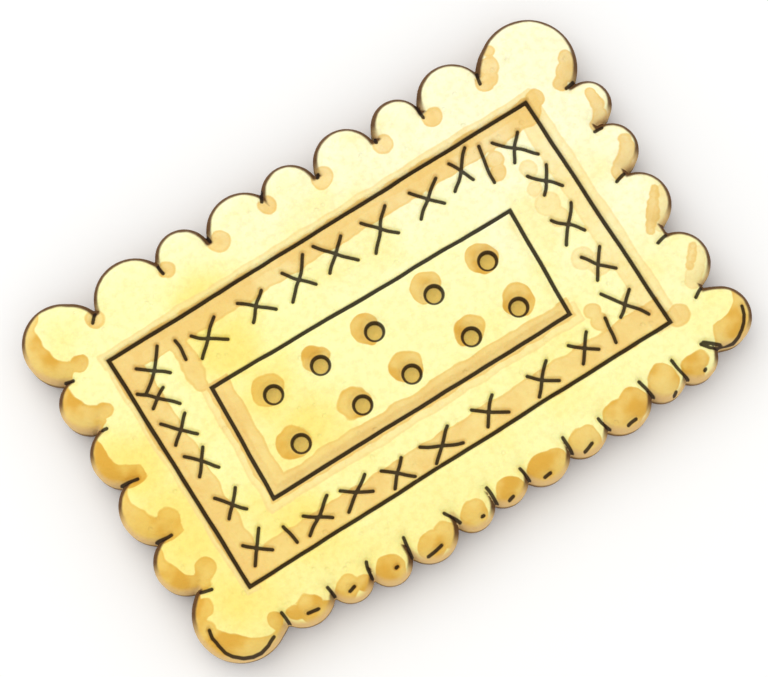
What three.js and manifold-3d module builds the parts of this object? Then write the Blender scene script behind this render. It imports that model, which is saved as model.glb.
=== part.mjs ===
// A rectangular tea biscuit: a flat slab of baked dough with a rim of uneven round lobes,
// a sunk band of pressed crosses between two stamped lines, and a raised middle panel
// with two rows of docker holes. Millimetres, +Z up. The biscuit lies on its flat underside.

import * as THREE from 'three';
import { mergeVertices } from 'three/addons/utils/BufferGeometryUtils.js';
import Module from 'manifold-3d';

const wasm = await Module();
wasm.setup();

// Thickness of the biscuit, how its upper edge rounds over, and the height at which the
// foot of its wall begins to draw in.
const THICKNESS = 6.2;
const CROWN_WIDTH = 2.4;
const CROWN_DROP = 2.3;
const CROWN_STEPS = 4;
const FOOT_HEIGHT = 1.2;

// The slab between the lobes, as far as it reaches from the middle of the stamped frame,
// and how far a lobe of a side and one of a corner run in under it.
const SLAB = { left: -30.8, right: 31.2, near: -19.1, far: 19.4 };
const SIDE_TONGUE = 4;
const CORNER_TONGUE = 0.8;
const LOBE_ARC_STEPS = 5;
const NARROWEST_CROWN = 0.15;

// Lobes along each side: place along the side, radius, and reach of the crown from the
// middle of the stamped frame. They are as uneven as the dough left them.
const FAR_LOBES = [
  [-20.2, 4.4, 22.8], [-13.5, 3.1, 22.5], [-6.5, 4.1, 22.6], [-0.3, 3.2, 22.4],
  [6.6, 3.6, 22.6], [13.3, 2.9, 22.3], [19.8, 3.8, 22.6],
];
const RIGHT_LOBES = [
  [10.5, 2.6, 34.3], [5.0, 2.9, 34.1], [-1.5, 3.5, 33.9], [-9.1, 3.4, 33.9],
];
const NEAR_LOBES = [
  [26.3, 2.6, 21.0], [22.4, 2.5, 20.9], [17.2, 3.3, 21.5], [12.1, 2.8, 21.3],
  [7.1, 3.0, 21.6], [2.3, 2.6, 21.3], [-2.0, 2.4, 21.7], [-7.2, 3.1, 22.2],
  [-12.3, 2.4, 21.9], [-16.7, 2.5, 21.2], [-21.8, 3.5, 20.8],
];
const LEFT_LOBES = [
  [-8.1, 3.4, 33.7], [-1.5, 4.0, 33.8], [5.0, 3.5, 33.4], [11.5, 3.1, 33.3],
];
// The four large corner lobes: middle and radius.
const CORNER_LOBES = [
  [-29.2, 18.4, 4.3], [28.5, 17.3, 5.3], [31.1, -16.3, 3.3], [-28.4, -15.7, 5.0],
];

// Creases between the lobes: the inner end, then the length and the bearing in degrees
// outwards to the notch. Those of the near side run in furthest.
const CREASES = [
  [-25.6, 18.2, 1.8, 35], [-16.4, 18.6, 1.8, 85], [-10.3, 18.8, 1.4, 97],
  [-3.6, 19.4, 2.0, 70], [2.7, 18.8, 1.2, 50], [10.2, 18.5, 1.3, 87],
  [16.2, 18.1, 2.3, 91], [22.8, 17.9, 2.1, 64],
  [29.8, 12.8, 2.0, 10], [30.1, 7.4, 1.7, 6], [29.3, 1.4, 2.0, 8],
  [29.1, -6.3, 2.1, 7], [29.6, -13.4, 1.9, 18],
  [27.3, -17.4, 2.6, -40], [23.9, -17.3, 3.3, -82], [19.8, -17.4, 2.7, -80],
  [14.1, -18.0, 2.6, -79], [9.8, -17.7, 2.8, -91], [4.4, -18.1, 2.5, -87],
  [0.2, -18.0, 2.7, -91], [-5.0, -18.1, 2.7, -70], [-10.0, -17.8, 3.0, -91],
  [-14.2, -17.9, 2.7, -101], [-19.1, -18.1, 1.9, -87], [-24.6, -17.6, 2.1, -96],
  [-29.2, -12.2, 1.9, 168], [-29.4, -5.0, 2.8, 179], [-29.5, 1.7, 2.7, 172],
  [-29.7, 7.9, 1.3, 172], [-29.8, 14.1, 1.8, 162],
];
const CREASE_DEPTH = 0.9;

// Short nicks in the rounded edge of the near lobes: middle, length and bearing.
const NICKS = [
  [26.4, -20.2, 0.8, 34], [22.1, -20.5, 1.2, 28], [16.8, -20.9, 1.9, 11],
  [11.5, -20.6, 2.0, 14], [6.4, -20.9, 1.6, 4], [1.8, -20.7, 1.4, 12],
  [-1.7, -20.7, 0.8, 6], [-7.7, -21.1, 2.4, 4], [-12.0, -20.5, 0.9, 3],
  [-17.1, -19.9, 1.5, 10], [-21.7, -19.5, 2.0, -3],
];
// The bowed nick in the edge of each near corner: its centre and radius, then the bearings
// of its two ends.
const BOWS = [[-28.6, -16.8, 3.5, 158, 304], [30.2, -16.1, 3.25, 208, 351]];
const NICK_WIDTH = 0.5;
const NICK_DEPTH = 1.1;
const BOW_STEPS = 2;

// The stamped frame, and the line pressed just inside it.
const FRAME = { left: -26.4, right: 26.4, near: -14.4, far: 14.4 };
const LINE_WIDTH = 0.8;
const LINE_DEPTH = 0.9;

// The sunk band, and the raised panel that it runs round. The panel's corners go round
// from near left, and its outline is as far out of square as the stamp left it.
const BAND_DEPTH = 0.5;
const PANEL_CORNERS = [[-18.6, -7.1], [17.2, -7.3], [17.8, 4.6], [-18.0, 5.4]];
const PANEL_DROP = 0.1;
const PANEL_SLOPE = 0.7;

// Crosses pressed into the band: the place where the strokes cross, then the length and
// the bearing in degrees of the steep stroke and of the shallow one.
const CROSSES = [
  [-22.7, 10.7, 5.9, 46, 4.3, -37], [-15.8, 10.6, 5.2, 45, 4.7, -39],
  [-9.8, 10.6, 4.5, 47, 4.8, -44], [-4.6, 10.8, 6.0, 48, 4.5, -52],
  [0.1, 10.9, 4.9, 44, 5.6, -50], [5.6, 10.7, 6.1, 49, 5.0, -47],
  [11.7, 10.8, 5.7, 40, 4.9, -48], [16.3, 11.5, 5.5, 48, 4.0, -60],
  [22.5, 10.4, 4.4, 49, 5.9, -46],
  [23.2, 5.8, 4.2, 53, 4.6, -46], [22.7, 0.5, 5.5, 49, 4.8, -51],
  [23.2, -4.7, 4.4, 50, 4.9, -47],
  [23.0, -9.8, 3.9, 40, 6.2, -54], [17.0, -11.5, 4.1, 45, 4.2, -40],
  [11.5, -12.0, 4.5, 45, 4.1, -37], [5.0, -11.8, 4.0, 44, 4.8, -35],
  [-1.2, -12.2, 4.6, 41, 5.2, -25], [-6.7, -12.2, 4.3, 46, 4.4, -39],
  [-11.4, -11.5, 5.0, 40, 4.2, -32], [-16.2, -11.5, 5.2, 38, 3.8, -37],
  [-23.2, -10.9, 4.7, 48, 4.1, -41],
  [-23.1, -5.5, 3.9, 50, 4.2, -45], [-23.4, -0.2, 4.0, 51, 4.6, -44],
  [-23.6, 3.9, 4.1, 41, 4.7, -44], [-23.7, 7.8, 3.2, 41, 5.3, -47],
];
// Single bars that close off the corner crosses: middle, length and bearing.
const BARS = [
  [-19.1, 11.0, 3.2, 90], [18.9, 10.6, 5.0, 81],
  [20.3, -11.6, 3.8, 90], [-19.5, -11.5, 3.1, 93],
];
const STROKE_WIDTH = 0.8;
const STROKE_DEPTH = 0.6;
const STROKE_END_STEPS = 2;

// Docker holes pressed into the panel in two rows: each is a pit with a blunt tip, in a
// shallow dimple.
const HOLE_ROWS = [
  { y: 1.7, at: [-13.3, -7.5, -0.8, 6.6, 13.3] },
  { y: -4.2, at: [-13.6, -6.0, 0.1, 7.5, 13.4] },
];
const DIMPLE_RADIUS = 1.7;
const DIMPLE_DEPTH = 0.35;
const HOLE_RADIUS_TOP = 1.0;
const HOLE_RADIUS_FLOOR = 0.8;
const HOLE_WALL_DEPTH = 1.1;
const HOLE_TIP_DEPTH = 1.3;
const HOLE_SIDES = 12;

// How far a cutter stands clear of the face that it cuts through, and a distance from
// the middle that no dough reaches.
const CLEAR = 1;
const DOUGH_REACH = 40;
const SAME_POINT = 1e-5;

const BAND_FLOOR = THICKNESS - BAND_DEPTH;
const PANEL_TOP = THICKNESS - PANEL_DROP;
const STROKE_FLOOR = BAND_FLOOR - STROKE_DEPTH;

// A closed geometry as a solid for joining and cutting.
function solid(geometry) {
  const bare = geometry.clone();
  bare.deleteAttribute('normal');
  bare.deleteAttribute('uv');
  const merged = mergeVertices(bare, SAME_POINT);
  const index = merged.index.array;
  const triVerts = [];
  for (let i = 0; i < index.length; i += 3) {
    const [a, b, c] = [index[i], index[i + 1], index[i + 2]];
    if (a !== b && b !== c && c !== a) triVerts.push(a, b, c);
  }
  return new wasm.Manifold(new wasm.Mesh({
    numProp: 3,
    vertProperties: new Float32Array(merged.attributes.position.array),
    triVerts: new Uint32Array(triVerts),
  }));
}

// A solid back as a geometry, stood on z = 0 with its box centred on the Z axis.
function standing(body) {
  const { vertProperties, triVerts } = body.getMesh();
  const geometry = new THREE.BufferGeometry();
  geometry.setAttribute('position', new THREE.BufferAttribute(vertProperties, 3));
  geometry.setIndex(new THREE.BufferAttribute(triVerts, 1));
  geometry.computeBoundingBox();
  const { min, max } = geometry.boundingBox;
  geometry.translate(-(min.x + max.x) / 2, -(min.y + max.y) / 2, -min.z);
  geometry.computeVertexNormals();
  return geometry;
}

// A solid of revolution about a vertical axis at (x, y); the profile holds [radius, z].
function turned(profile, sides, x, y) {
  const points = profile.map(([radius, z]) => new THREE.Vector2(radius, z));
  const geometry = new THREE.LatheGeometry(points, sides);
  geometry.rotateX(Math.PI / 2);
  geometry.translate(x, y, 0);
  return solid(geometry);
}

// A flat outline drawn straight up from one height to another.
function raised(shape, bottom, top, options = {}) {
  const geometry = new THREE.ExtrudeGeometry(shape, {
    depth: top - bottom, bevelEnabled: false, curveSegments: LOBE_ARC_STEPS, ...options,
  });
  geometry.translate(0, 0, bottom);
  return solid(geometry);
}

// A flat-topped body whose upper edge is domed and whose foot draws in a little. The
// outline is that of its flat top, and the dome grows outwards from it.
function domed(flatTop, crownWidth) {
  return raised(flatTop, FOOT_HEIGHT, THICKNESS - CROWN_DROP, {
    bevelEnabled: true, bevelThickness: CROWN_DROP, bevelSize: crownWidth,
    bevelSegments: CROWN_STEPS,
  });
}

// One round lobe, drawn out inwards as a tongue, so that its crown runs onto the slab.
// The bearing is the way that it points outwards.
function lobe(x, y, radius, outwards, tongue = SIDE_TONGUE) {
  const topRadius = Math.max(radius - CROWN_WIDTH, NARROWEST_CROWN);
  const side = Math.PI / 2;
  const [rootX, rootY] = [x - tongue * Math.cos(outwards), y - tongue * Math.sin(outwards)];
  const shape = new THREE.Shape();
  shape.absarc(x, y, topRadius, outwards - side, outwards + side);
  shape.absarc(rootX, rootY, topRadius, outwards + side, outwards + 3 * side);
  return domed(shape, radius - topRadius);
}

// All the lobes of the rim, joined.
function rim() {
  const [right, far, left, near] = [0, Math.PI / 2, Math.PI, -Math.PI / 2];
  const lobes = [
    ...FAR_LOBES.map(([x, r, reach]) => lobe(x, reach - r, r, far)),
    ...RIGHT_LOBES.map(([y, r, reach]) => lobe(reach - r, y, r, right)),
    ...NEAR_LOBES.map(([x, r, reach]) => lobe(x, r - reach, r, near)),
    ...LEFT_LOBES.map(([y, r, reach]) => lobe(r - reach, y, r, left)),
    ...CORNER_LOBES.map(([x, y, r]) => lobe(x, y, r, Math.atan2(y, x), CORNER_TONGUE)),
  ];
  return lobes.reduce((sum, next) => sum.add(next));
}

// A rectangle's outline, taken in on all sides by the inset.
function rectangle({ left, right, near, far }, inset = 0) {
  return new THREE.Shape([
    new THREE.Vector2(left + inset, near + inset),
    new THREE.Vector2(right - inset, near + inset),
    new THREE.Vector2(right - inset, far - inset),
    new THREE.Vector2(left + inset, far - inset),
  ]);
}

// The plain dough: slab and lobes in one, cut off flat underneath.
function dough() {
  const slab = domed(rectangle(SLAB, CROWN_WIDTH), CROWN_WIDTH);
  const under = new THREE.BoxGeometry(2 * DOUGH_REACH, 2 * DOUGH_REACH, 2 * THICKNESS);
  under.translate(0, 0, -THICKNESS);
  return slab.add(rim()).subtract(solid(under));
}

// The panel's outline, moved out by a margin from its own middle.
function panelOutline(margin) {
  const points = PANEL_CORNERS.map(([x, y], i) => {
    const [sideX, sideY] = [i === 0 || i === 3 ? -1 : 1, i < 2 ? -1 : 1];
    return new THREE.Vector2(x + sideX * margin, y + sideY * margin);
  });
  return new THREE.Shape(points);
}

// A channel pressed down from the surface, between an outer and an inner outline.
function channel(outer, inner, floor) {
  outer.holes.push(inner);
  return raised(outer, floor, THICKNESS + CLEAR);
}

// One straight pressed stroke with round ends, down to a floor.
function stroke(x, y, length, bearing, floor = STROKE_FLOOR) {
  const half = length / 2 - STROKE_WIDTH / 2;
  const shape = new THREE.Shape();
  shape.absarc(half, 0, STROKE_WIDTH / 2, -Math.PI / 2, Math.PI / 2);
  shape.absarc(-half, 0, STROKE_WIDTH / 2, Math.PI / 2, 1.5 * Math.PI);
  shape.closePath();
  const geometry = new THREE.ExtrudeGeometry(shape, {
    depth: THICKNESS + CLEAR - floor,
    bevelEnabled: false,
    curveSegments: STROKE_END_STEPS,
  });
  geometry.rotateZ(THREE.MathUtils.degToRad(bearing));
  geometry.translate(x, y, floor);
  return solid(geometry);
}

// The creases between the lobes, each drawn from its inner end outwards.
function creases() {
  const strokes = CREASES.map(([x, y, length, bearing]) => {
    const way = THREE.MathUtils.degToRad(bearing);
    const [middleX, middleY] = [x + Math.cos(way) * length / 2, y + Math.sin(way) * length / 2];
    return stroke(middleX, middleY, length, bearing, THICKNESS - CREASE_DEPTH);
  });
  return strokes.reduce((sum, next) => sum.add(next));
}

// One straight nick with square ends.
function nick(x, y, length, bearing) {
  const geometry = new THREE.BoxGeometry(length, NICK_WIDTH, 2 * NICK_DEPTH);
  geometry.rotateZ(THREE.MathUtils.degToRad(bearing));
  geometry.translate(x, y, THICKNESS);
  return solid(geometry);
}

// One bowed nick.
function bow(x, y, radius, start, end) {
  const [from, to] = [THREE.MathUtils.degToRad(start), THREE.MathUtils.degToRad(end)];
  const shape = new THREE.Shape();
  shape.absarc(x, y, radius + NICK_WIDTH / 2, from, to);
  shape.absarc(x, y, radius - NICK_WIDTH / 2, to, from, true);
  return raised(shape, THICKNESS - NICK_DEPTH, THICKNESS + CLEAR, { curveSegments: BOW_STEPS });
}

// All the nicks in the rounded edge of the near lobes and the near corners.
function nicks() {
  const straight = NICKS.map((row) => nick(...row));
  const bowed = BOWS.map((row) => bow(...row));
  return [...straight, ...bowed].reduce((sum, next) => sum.add(next));
}

// The pressed ornament of the band: crosses and the bars beside the corners.
function ornament() {
  const strokes = BARS.map((bar) => stroke(...bar));
  for (const [x, y, steep, steepBearing, shallow, shallowBearing] of CROSSES) {
    strokes.push(stroke(x, y, steep, steepBearing));
    strokes.push(stroke(x, y, shallow, shallowBearing));
  }
  return strokes.reduce((sum, next) => sum.add(next));
}

// The docker pins: a wide dimple at the surface, then a nearly upright wall and a blunt tip.
function dockerPins() {
  const flare = (DIMPLE_RADIUS - HOLE_RADIUS_TOP) / DIMPLE_DEPTH;
  const profile = [
    [0, PANEL_TOP - HOLE_TIP_DEPTH],
    [HOLE_RADIUS_FLOOR, PANEL_TOP - HOLE_WALL_DEPTH],
    [HOLE_RADIUS_TOP, PANEL_TOP - DIMPLE_DEPTH],
    [DIMPLE_RADIUS + flare * CLEAR, PANEL_TOP + CLEAR],
    [0, PANEL_TOP + CLEAR],
  ];
  const pins = HOLE_ROWS.flatMap(({ y, at }) => at.map(
    (x) => turned(profile, HOLE_SIDES, x, y),
  ));
  return pins.reduce((sum, next) => sum.add(next));
}

// The whole biscuit: dough first, then the stamp's marks from the outside inwards.
function biscuit() {
  const pocket = raised(rectangle(FRAME), BAND_FLOOR, THICKNESS + CLEAR);
  const panel = raised(panelOutline(-PANEL_SLOPE), BAND_FLOOR - CLEAR, BAND_FLOOR, {
    bevelEnabled: true, bevelThickness: PANEL_TOP - BAND_FLOOR, bevelSize: PANEL_SLOPE,
    bevelSegments: 1,
  });
  const frameLine = channel(
    rectangle(FRAME), rectangle(FRAME, LINE_WIDTH), THICKNESS - LINE_DEPTH,
  );
  const panelLine = channel(
    panelOutline(LINE_WIDTH), panelOutline(0), THICKNESS - LINE_DEPTH,
  );
  return dough().subtract(pocket).add(panel)
    .subtract(frameLine).subtract(panelLine)
    .subtract(ornament()).subtract(creases()).subtract(nicks())
    .subtract(dockerPins());
}

const bakedDough = new THREE.MeshStandardMaterial({
  color: 0xf6e295, roughness: 0.85, metalness: 0,
});

const group = new THREE.Group();
const mesh = new THREE.Mesh(standing(biscuit()), bakedDough);
mesh.name = 'biscuit';
group.add(mesh);

export default group;
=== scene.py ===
"""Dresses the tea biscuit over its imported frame: baked dough, floor, light and camera.

Plan sizes are in millimetres from the middle of the stamped frame, +X along the long side,
+Y away from the near side and +Z up. They become metres in the row frame where a mesh is made.
"""

import logging
import math
from dataclasses import dataclass, field
from enum import Enum
from typing import Any

import bpy
import numpy as np
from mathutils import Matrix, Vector
from mathutils.geometry import delaunay_2d_cdt


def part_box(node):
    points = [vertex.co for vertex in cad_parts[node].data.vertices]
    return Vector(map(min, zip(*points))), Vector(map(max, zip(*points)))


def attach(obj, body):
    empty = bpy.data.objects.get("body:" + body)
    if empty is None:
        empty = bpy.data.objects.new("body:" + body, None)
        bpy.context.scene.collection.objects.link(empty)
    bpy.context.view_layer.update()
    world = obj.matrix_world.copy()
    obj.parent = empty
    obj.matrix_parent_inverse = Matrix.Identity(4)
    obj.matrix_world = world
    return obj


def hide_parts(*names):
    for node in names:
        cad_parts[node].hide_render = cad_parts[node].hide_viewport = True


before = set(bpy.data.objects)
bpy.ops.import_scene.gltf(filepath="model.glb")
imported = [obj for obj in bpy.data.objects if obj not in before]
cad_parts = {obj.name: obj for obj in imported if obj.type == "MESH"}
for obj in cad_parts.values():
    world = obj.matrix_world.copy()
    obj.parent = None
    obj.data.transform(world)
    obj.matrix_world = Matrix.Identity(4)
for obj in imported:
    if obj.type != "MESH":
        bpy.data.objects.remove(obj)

LOG = logging.getLogger("tea_biscuit")
MM = 0.001
SEED = 7
# The least distance that something is divided by.
TINY = 1e-9
# The kind of triangulation that keeps only what lies inside the outline.
INSIDE_ONLY = 1

# Kinds of node that come often, and the settings that they come with. A range node's inputs
# 0 to 4 are the value, where its range starts and ends, and what it gives there. A colour mix
# takes its share at input 0 and its colours at 6 and 7, and gives the mix at output 2.
MATH = "ShaderNodeMath"
VECTOR_MATH = "ShaderNodeVectorMath"
RANGE = "ShaderNodeMapRange"
NOISE = "ShaderNodeTexNoise"
MIX = "ShaderNodeMix"
ADD = {"operation": "ADD"}
SUBTRACT = {"operation": "SUBTRACT"}
MULTIPLY = {"operation": "MULTIPLY"}
DIVIDE = {"operation": "DIVIDE"}
ABSOLUTE = {"operation": "ABSOLUTE"}
LARGER = {"operation": "MAXIMUM"}
EASE = {"interpolation_type": "SMOOTHSTEP"}
SEEDED = {"noise_dimensions": "4D"}
NUMBER = {"data_type": "FLOAT"}
COLOUR = {"data_type": "RGBA"}

# Heights of the dough, and how its upper edge rounds over and its foot draws in.
THICKNESS = 6.2
CROWN_WIDTH = 2.4
CROWN_DROP = 2.3
FOOT_HEIGHT = 1.2
RIM_HEIGHT = THICKNESS - CROWN_DROP

# The slab between the lobes: left, right, near and far.
SLAB = (-30.8, 31.2, -19.1, 19.4)
# How far the crown of a lobe runs in over the slab.
SIDE_TONGUE = 4.0
CORNER_TONGUE = 0.8

# The plan direction towards the light: the crust is painted palest that way, and the lobes' painted
# shade lies away from it.
LIT_WAY = (0.533, 0.846)
# A crescent of painted shade on a lobe, on its side away from the light: the radius of the bare,
# lit disc inside it and how far inwards of the lobe's middle it ends, as shares of the lobe's
# radius, and its reach past the lobe.
BARE_SHARE = 1.08
PATCH_END = 0.3
PATCH_REACH = 0.15

# The stamped frame and panel: left, right, near and far, and the panel's corners.
FRAME = (-26.4, 26.4, -14.4, 14.4)
PANEL_CORNERS = ((-18.6, -7.1), (17.2, -7.3), (17.8, 4.6), (-18.0, 5.4))
LINE_WIDTH = 0.8
LINE_DEPTH = 0.9
BAND_DEPTH = 0.5
PANEL_DROP = 0.1
PANEL_SLOPE = 0.7

# Crosses of the band: middle, then length and bearing of the steep and the shallow stroke.
CROSSES = (
    (-22.7, 10.7, 5.9, 46, 4.3, -37), (-15.8, 10.6, 5.2, 45, 4.7, -39),
    (-9.8, 10.6, 4.5, 47, 4.8, -44), (-4.6, 10.8, 6.0, 48, 4.5, -52),
    (0.1, 10.9, 4.9, 44, 5.6, -50), (5.6, 10.7, 6.1, 49, 5.0, -47),
    (11.7, 10.8, 5.7, 40, 4.9, -48), (16.3, 11.5, 5.5, 48, 4.0, -60),
    (22.5, 10.4, 4.4, 49, 5.9, -46),
    (23.2, 5.8, 4.2, 53, 4.6, -46), (22.7, 0.5, 5.5, 49, 4.8, -51),
    (23.2, -4.7, 4.4, 50, 4.9, -47),
    (23.0, -9.8, 3.9, 40, 6.2, -54), (17.0, -11.5, 4.1, 45, 4.2, -40),
    (11.5, -12.0, 4.5, 45, 4.1, -37), (5.0, -11.8, 4.0, 44, 4.8, -35),
    (-1.2, -12.2, 4.6, 41, 5.2, -25), (-6.7, -12.2, 4.3, 46, 4.4, -39),
    (-11.4, -11.5, 5.0, 40, 4.2, -32), (-16.2, -11.5, 5.2, 38, 3.8, -37),
    (-23.2, -10.9, 4.7, 48, 4.1, -41),
    (-23.1, -5.5, 3.9, 50, 4.2, -45), (-23.4, -0.2, 4.0, 51, 4.6, -44),
    (-23.6, 3.9, 4.1, 41, 4.7, -44), (-23.7, 7.8, 3.2, 41, 5.3, -47),
)
# Single bars beside the corners: middle, length and bearing.
BARS = (
    (-19.1, 11.0, 3.2, 90), (18.9, 10.6, 5.0, 81), (20.3, -11.6, 3.8, 90), (-19.5, -11.5, 3.1, 93),
)
STROKE_WIDTH = 0.8
STROKE_DEPTH = 0.6
# The least length of a stroke's middle line.
STROKE_CORE = 0.2

# Creases between the lobes: inner end, then length and bearing outwards to the notch.
CREASES = (
    (-25.6, 18.2, 1.8, 35), (-16.4, 18.6, 1.8, 85), (-10.3, 18.8, 1.4, 97),
    (-3.6, 19.4, 2.0, 70), (2.7, 18.8, 1.2, 50), (10.2, 18.5, 1.3, 87),
    (16.2, 18.1, 2.3, 91), (22.8, 17.9, 2.1, 64),
    (29.8, 12.8, 2.0, 10), (30.1, 7.4, 1.7, 6), (29.3, 1.4, 2.0, 8),
    (29.1, -6.3, 2.1, 7), (29.6, -13.4, 1.9, 18),
    (27.3, -17.4, 2.6, -40), (23.9, -17.3, 3.3, -82), (19.8, -17.4, 2.7, -80),
    (14.1, -18.0, 2.6, -79), (9.8, -17.7, 2.8, -91), (4.4, -18.1, 2.5, -87),
    (0.2, -18.0, 2.7, -91), (-5.0, -18.1, 2.7, -70), (-10.0, -17.8, 3.0, -91),
    (-14.2, -17.9, 2.7, -101), (-19.1, -18.1, 1.9, -87), (-24.6, -17.6, 2.1, -96),
    (-29.2, -12.2, 1.9, 168), (-29.4, -5.0, 2.8, 179), (-29.5, 1.7, 2.7, 172),
    (-29.7, 7.9, 1.3, 172), (-29.8, 14.1, 1.8, 162),
)
CREASE_DEPTH = 0.9

# Short nicks in the rounded edge of the near lobes: middle, length and bearing.
NICKS = (
    (26.4, -20.2, 0.8, 34), (22.1, -20.5, 1.2, 28), (16.8, -20.9, 1.9, 11),
    (11.5, -20.6, 2.0, 14), (6.4, -20.9, 1.6, 4), (1.8, -20.7, 1.4, 12),
    (-1.7, -20.7, 0.8, 6), (-7.7, -21.1, 2.4, 4), (-12.0, -20.5, 0.9, 3),
    (-17.1, -19.9, 1.5, 10), (-21.7, -19.5, 2.0, -3),
)
# The bowed nick in the edge of each near corner: centre, radius and bearings of its ends.
BOWS = ((-28.6, -16.8, 3.5, 158, 304), (30.2, -16.1, 3.25, 208, 351))
BOW_CHORDS = 9

# Docker holes, and the shape of their pit.
HOLES = (
    (-13.3, 1.7), (-7.5, 1.7), (-0.8, 1.7), (6.6, 1.7), (13.3, 1.7),
    (-13.6, -4.2), (-6.0, -4.2), (0.1, -4.2), (7.5, -4.2), (13.4, -4.2),
)
DIMPLE_RADIUS = 1.7
DIMPLE_DEPTH = 0.35
HOLE_RADIUS_TOP = 1.0
HOLE_RADIUS_FLOOR = 0.8
HOLE_WALL_DEPTH = 1.1
HOLE_TIP_DEPTH = 1.3


class Side(Enum):
    """The sides that a lobe can stand on, each with the way that it points outwards."""

    FAR = math.pi / 2
    RIGHT = 0.0
    NEAR = -math.pi / 2
    LEFT = math.pi


class Tone(Enum):
    """The tints of the crust's patches: a richer yellow, and three strengths of tan that paint shade
    where the relief turns from the light, and also ring the docker holes.
    """

    RICH = "rich_yellow"
    FAINT = "tan_faint"
    PLAIN = "tan_plain"
    GOLD = "tan_gold"


def add_node(tree: Any, kind: str, settings: dict | None = None, inputs: dict | None = None,
             output: int | str = 0) -> Any:
    """Adds one node to a shader or geometry tree, with its settings and links.

    Args:
        tree: The node tree.
        kind: The node's type name.
        settings: Properties of the node by name.
        inputs: Input sockets by name or number, each a value or a socket to link from.
        output: The output socket that the caller goes on with, by name or number.

    Returns:
        That output socket, or None where the node has no outputs.
    """
    node = tree.nodes.new(kind)
    for name, value in (settings or {}).items():
        setattr(node, name, value)
    for key, value in (inputs or {}).items():
        if isinstance(value, bpy.types.NodeSocket):
            tree.links.new(value, node.inputs[key])
        else:
            node.inputs[key].default_value = value
    return node.outputs[output] if len(node.outputs) else None


def across(limits: tuple[float, float]) -> dict[int, float]:
    """Gives the inputs of a range node for the values that the range starts and ends at."""
    return {1: limits[0], 2: limits[1]}


def linear(colour: str) -> tuple[float, float, float, float]:
    """Turns an sRGB hex colour into linear light.

    Args:
        colour: Six hex digits after a hash sign.

    Returns:
        Red, green, blue and an alpha of 1.
    """
    parts = [int(colour[i:i + 2], 16) / 255 for i in (1, 3, 5)]
    light = [c / 12.92 if c <= 0.04045 else ((c + 0.055) / 1.055) ** 2.4 for c in parts]
    return light[0], light[1], light[2], 1.0


@dataclass(frozen=True)
class Lobe:
    """One round lobe of the rim.

    Its middle, its radius, the bearing that it points in and how far its crown runs in as a
    tongue. Where it has a crescent of painted shade, also the shaded share of its width and
    how strongly its bare, lit part is drawn to the side of the light.
    """

    x: float
    y: float
    radius: float
    outwards: float
    tongue: float
    shaded_share: float = 0.0
    lift: float = 0.0

    def crescent_inset(self, points: np.ndarray) -> np.ndarray:
        """Measures how far inside the crescent of painted shade plan points are.

        The lobe is left bare and lit in a disc that is shifted inwards and to the side of the light,
        and painted with shade in the crescent that is left, which ends soon after the lobe's middle.

        Args:
            points: Plan points.

        Returns:
            Signed millimetres.
        """
        from_middle = points - np.array([self.x, self.y])
        inwards = -np.array([math.cos(self.outwards), math.sin(self.outwards)])
        towards = inwards + self.lift * np.array(LIT_WAY)
        towards = towards / np.hypot(*towards)
        bare_radius = BARE_SHARE * self.radius
        shift = bare_radius - self.radius + 2 * self.radius * self.shaded_share
        outside_bare = np.hypot(*(from_middle - shift * towards).T) - bare_radius
        inside_lobe = self.radius + PATCH_REACH - np.hypot(*from_middle.T)
        short_of_end = PATCH_END * self.radius - from_middle @ inwards
        return np.minimum.reduce([outside_bare, inside_lobe, short_of_end])


@dataclass(frozen=True)
class Rim:
    """The lobes of the rim, as uneven as the dough left them.

    Each side lists its lobes as place along the side, radius and reach from the middle of the
    frame, and the corners are listed as middle and radius. A lobe with a crescent of painted
    shade has its shaded share and its lift after them.
    """

    far: tuple = (
        (-20.2, 4.4, 22.8), (-13.5, 3.1, 22.5), (-6.5, 4.1, 22.6), (-0.3, 3.2, 22.4),
        (6.6, 3.6, 22.6), (13.3, 2.9, 22.3), (19.8, 3.8, 22.6),
    )
    right: tuple = ((10.5, 2.6, 34.3), (5.0, 2.9, 34.1), (-1.5, 3.5, 33.9), (-9.1, 3.4, 33.9))
    near: tuple = (
        (26.3, 2.6, 21.0), (22.4, 2.5, 20.9), (17.2, 3.3, 21.5), (12.1, 2.8, 21.3),
        (7.1, 3.0, 21.6), (2.3, 2.6, 21.3), (-2.0, 2.4, 21.7), (-7.2, 3.1, 22.2),
        (-12.3, 2.4, 21.9), (-16.7, 2.5, 21.2), (-21.8, 3.5, 20.8),
    )
    left: tuple = (
        (-8.1, 3.4, 33.7, 0.34, 1.5), (-1.5, 4.0, 33.8, 0.34, 1.5),
        (5.0, 3.5, 33.4, 0.34, 1.5), (11.5, 3.1, 33.3, 0.46, 1.5),
    )
    corners: tuple = (
        (-29.2, 18.4, 4.3, 0.30, 1.0), (28.5, 17.3, 5.3), (31.1, -16.3, 3.3, 0.46, 1.0),
        (-28.4, -15.7, 5.0, 0.26, 0.4),
    )

    def lobes(self) -> list[Lobe]:
        """Lists every lobe of the rim."""
        made = []
        for side, rows in ((Side.FAR, self.far), (Side.RIGHT, self.right),
                           (Side.NEAR, self.near), (Side.LEFT, self.left)):
            for place, radius, reach, *crescent in rows:
                out = (reach - radius) * (1 if side in (Side.FAR, Side.RIGHT) else -1)
                x, y = (place, out) if side in (Side.FAR, Side.NEAR) else (out, place)
                made.append(Lobe(x, y, radius, side.value, SIDE_TONGUE, *crescent))
        for x, y, radius, *crescent in self.corners:
            made.append(Lobe(x, y, radius, math.atan2(y, x), CORNER_TONGUE, *crescent))
        return made


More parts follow.
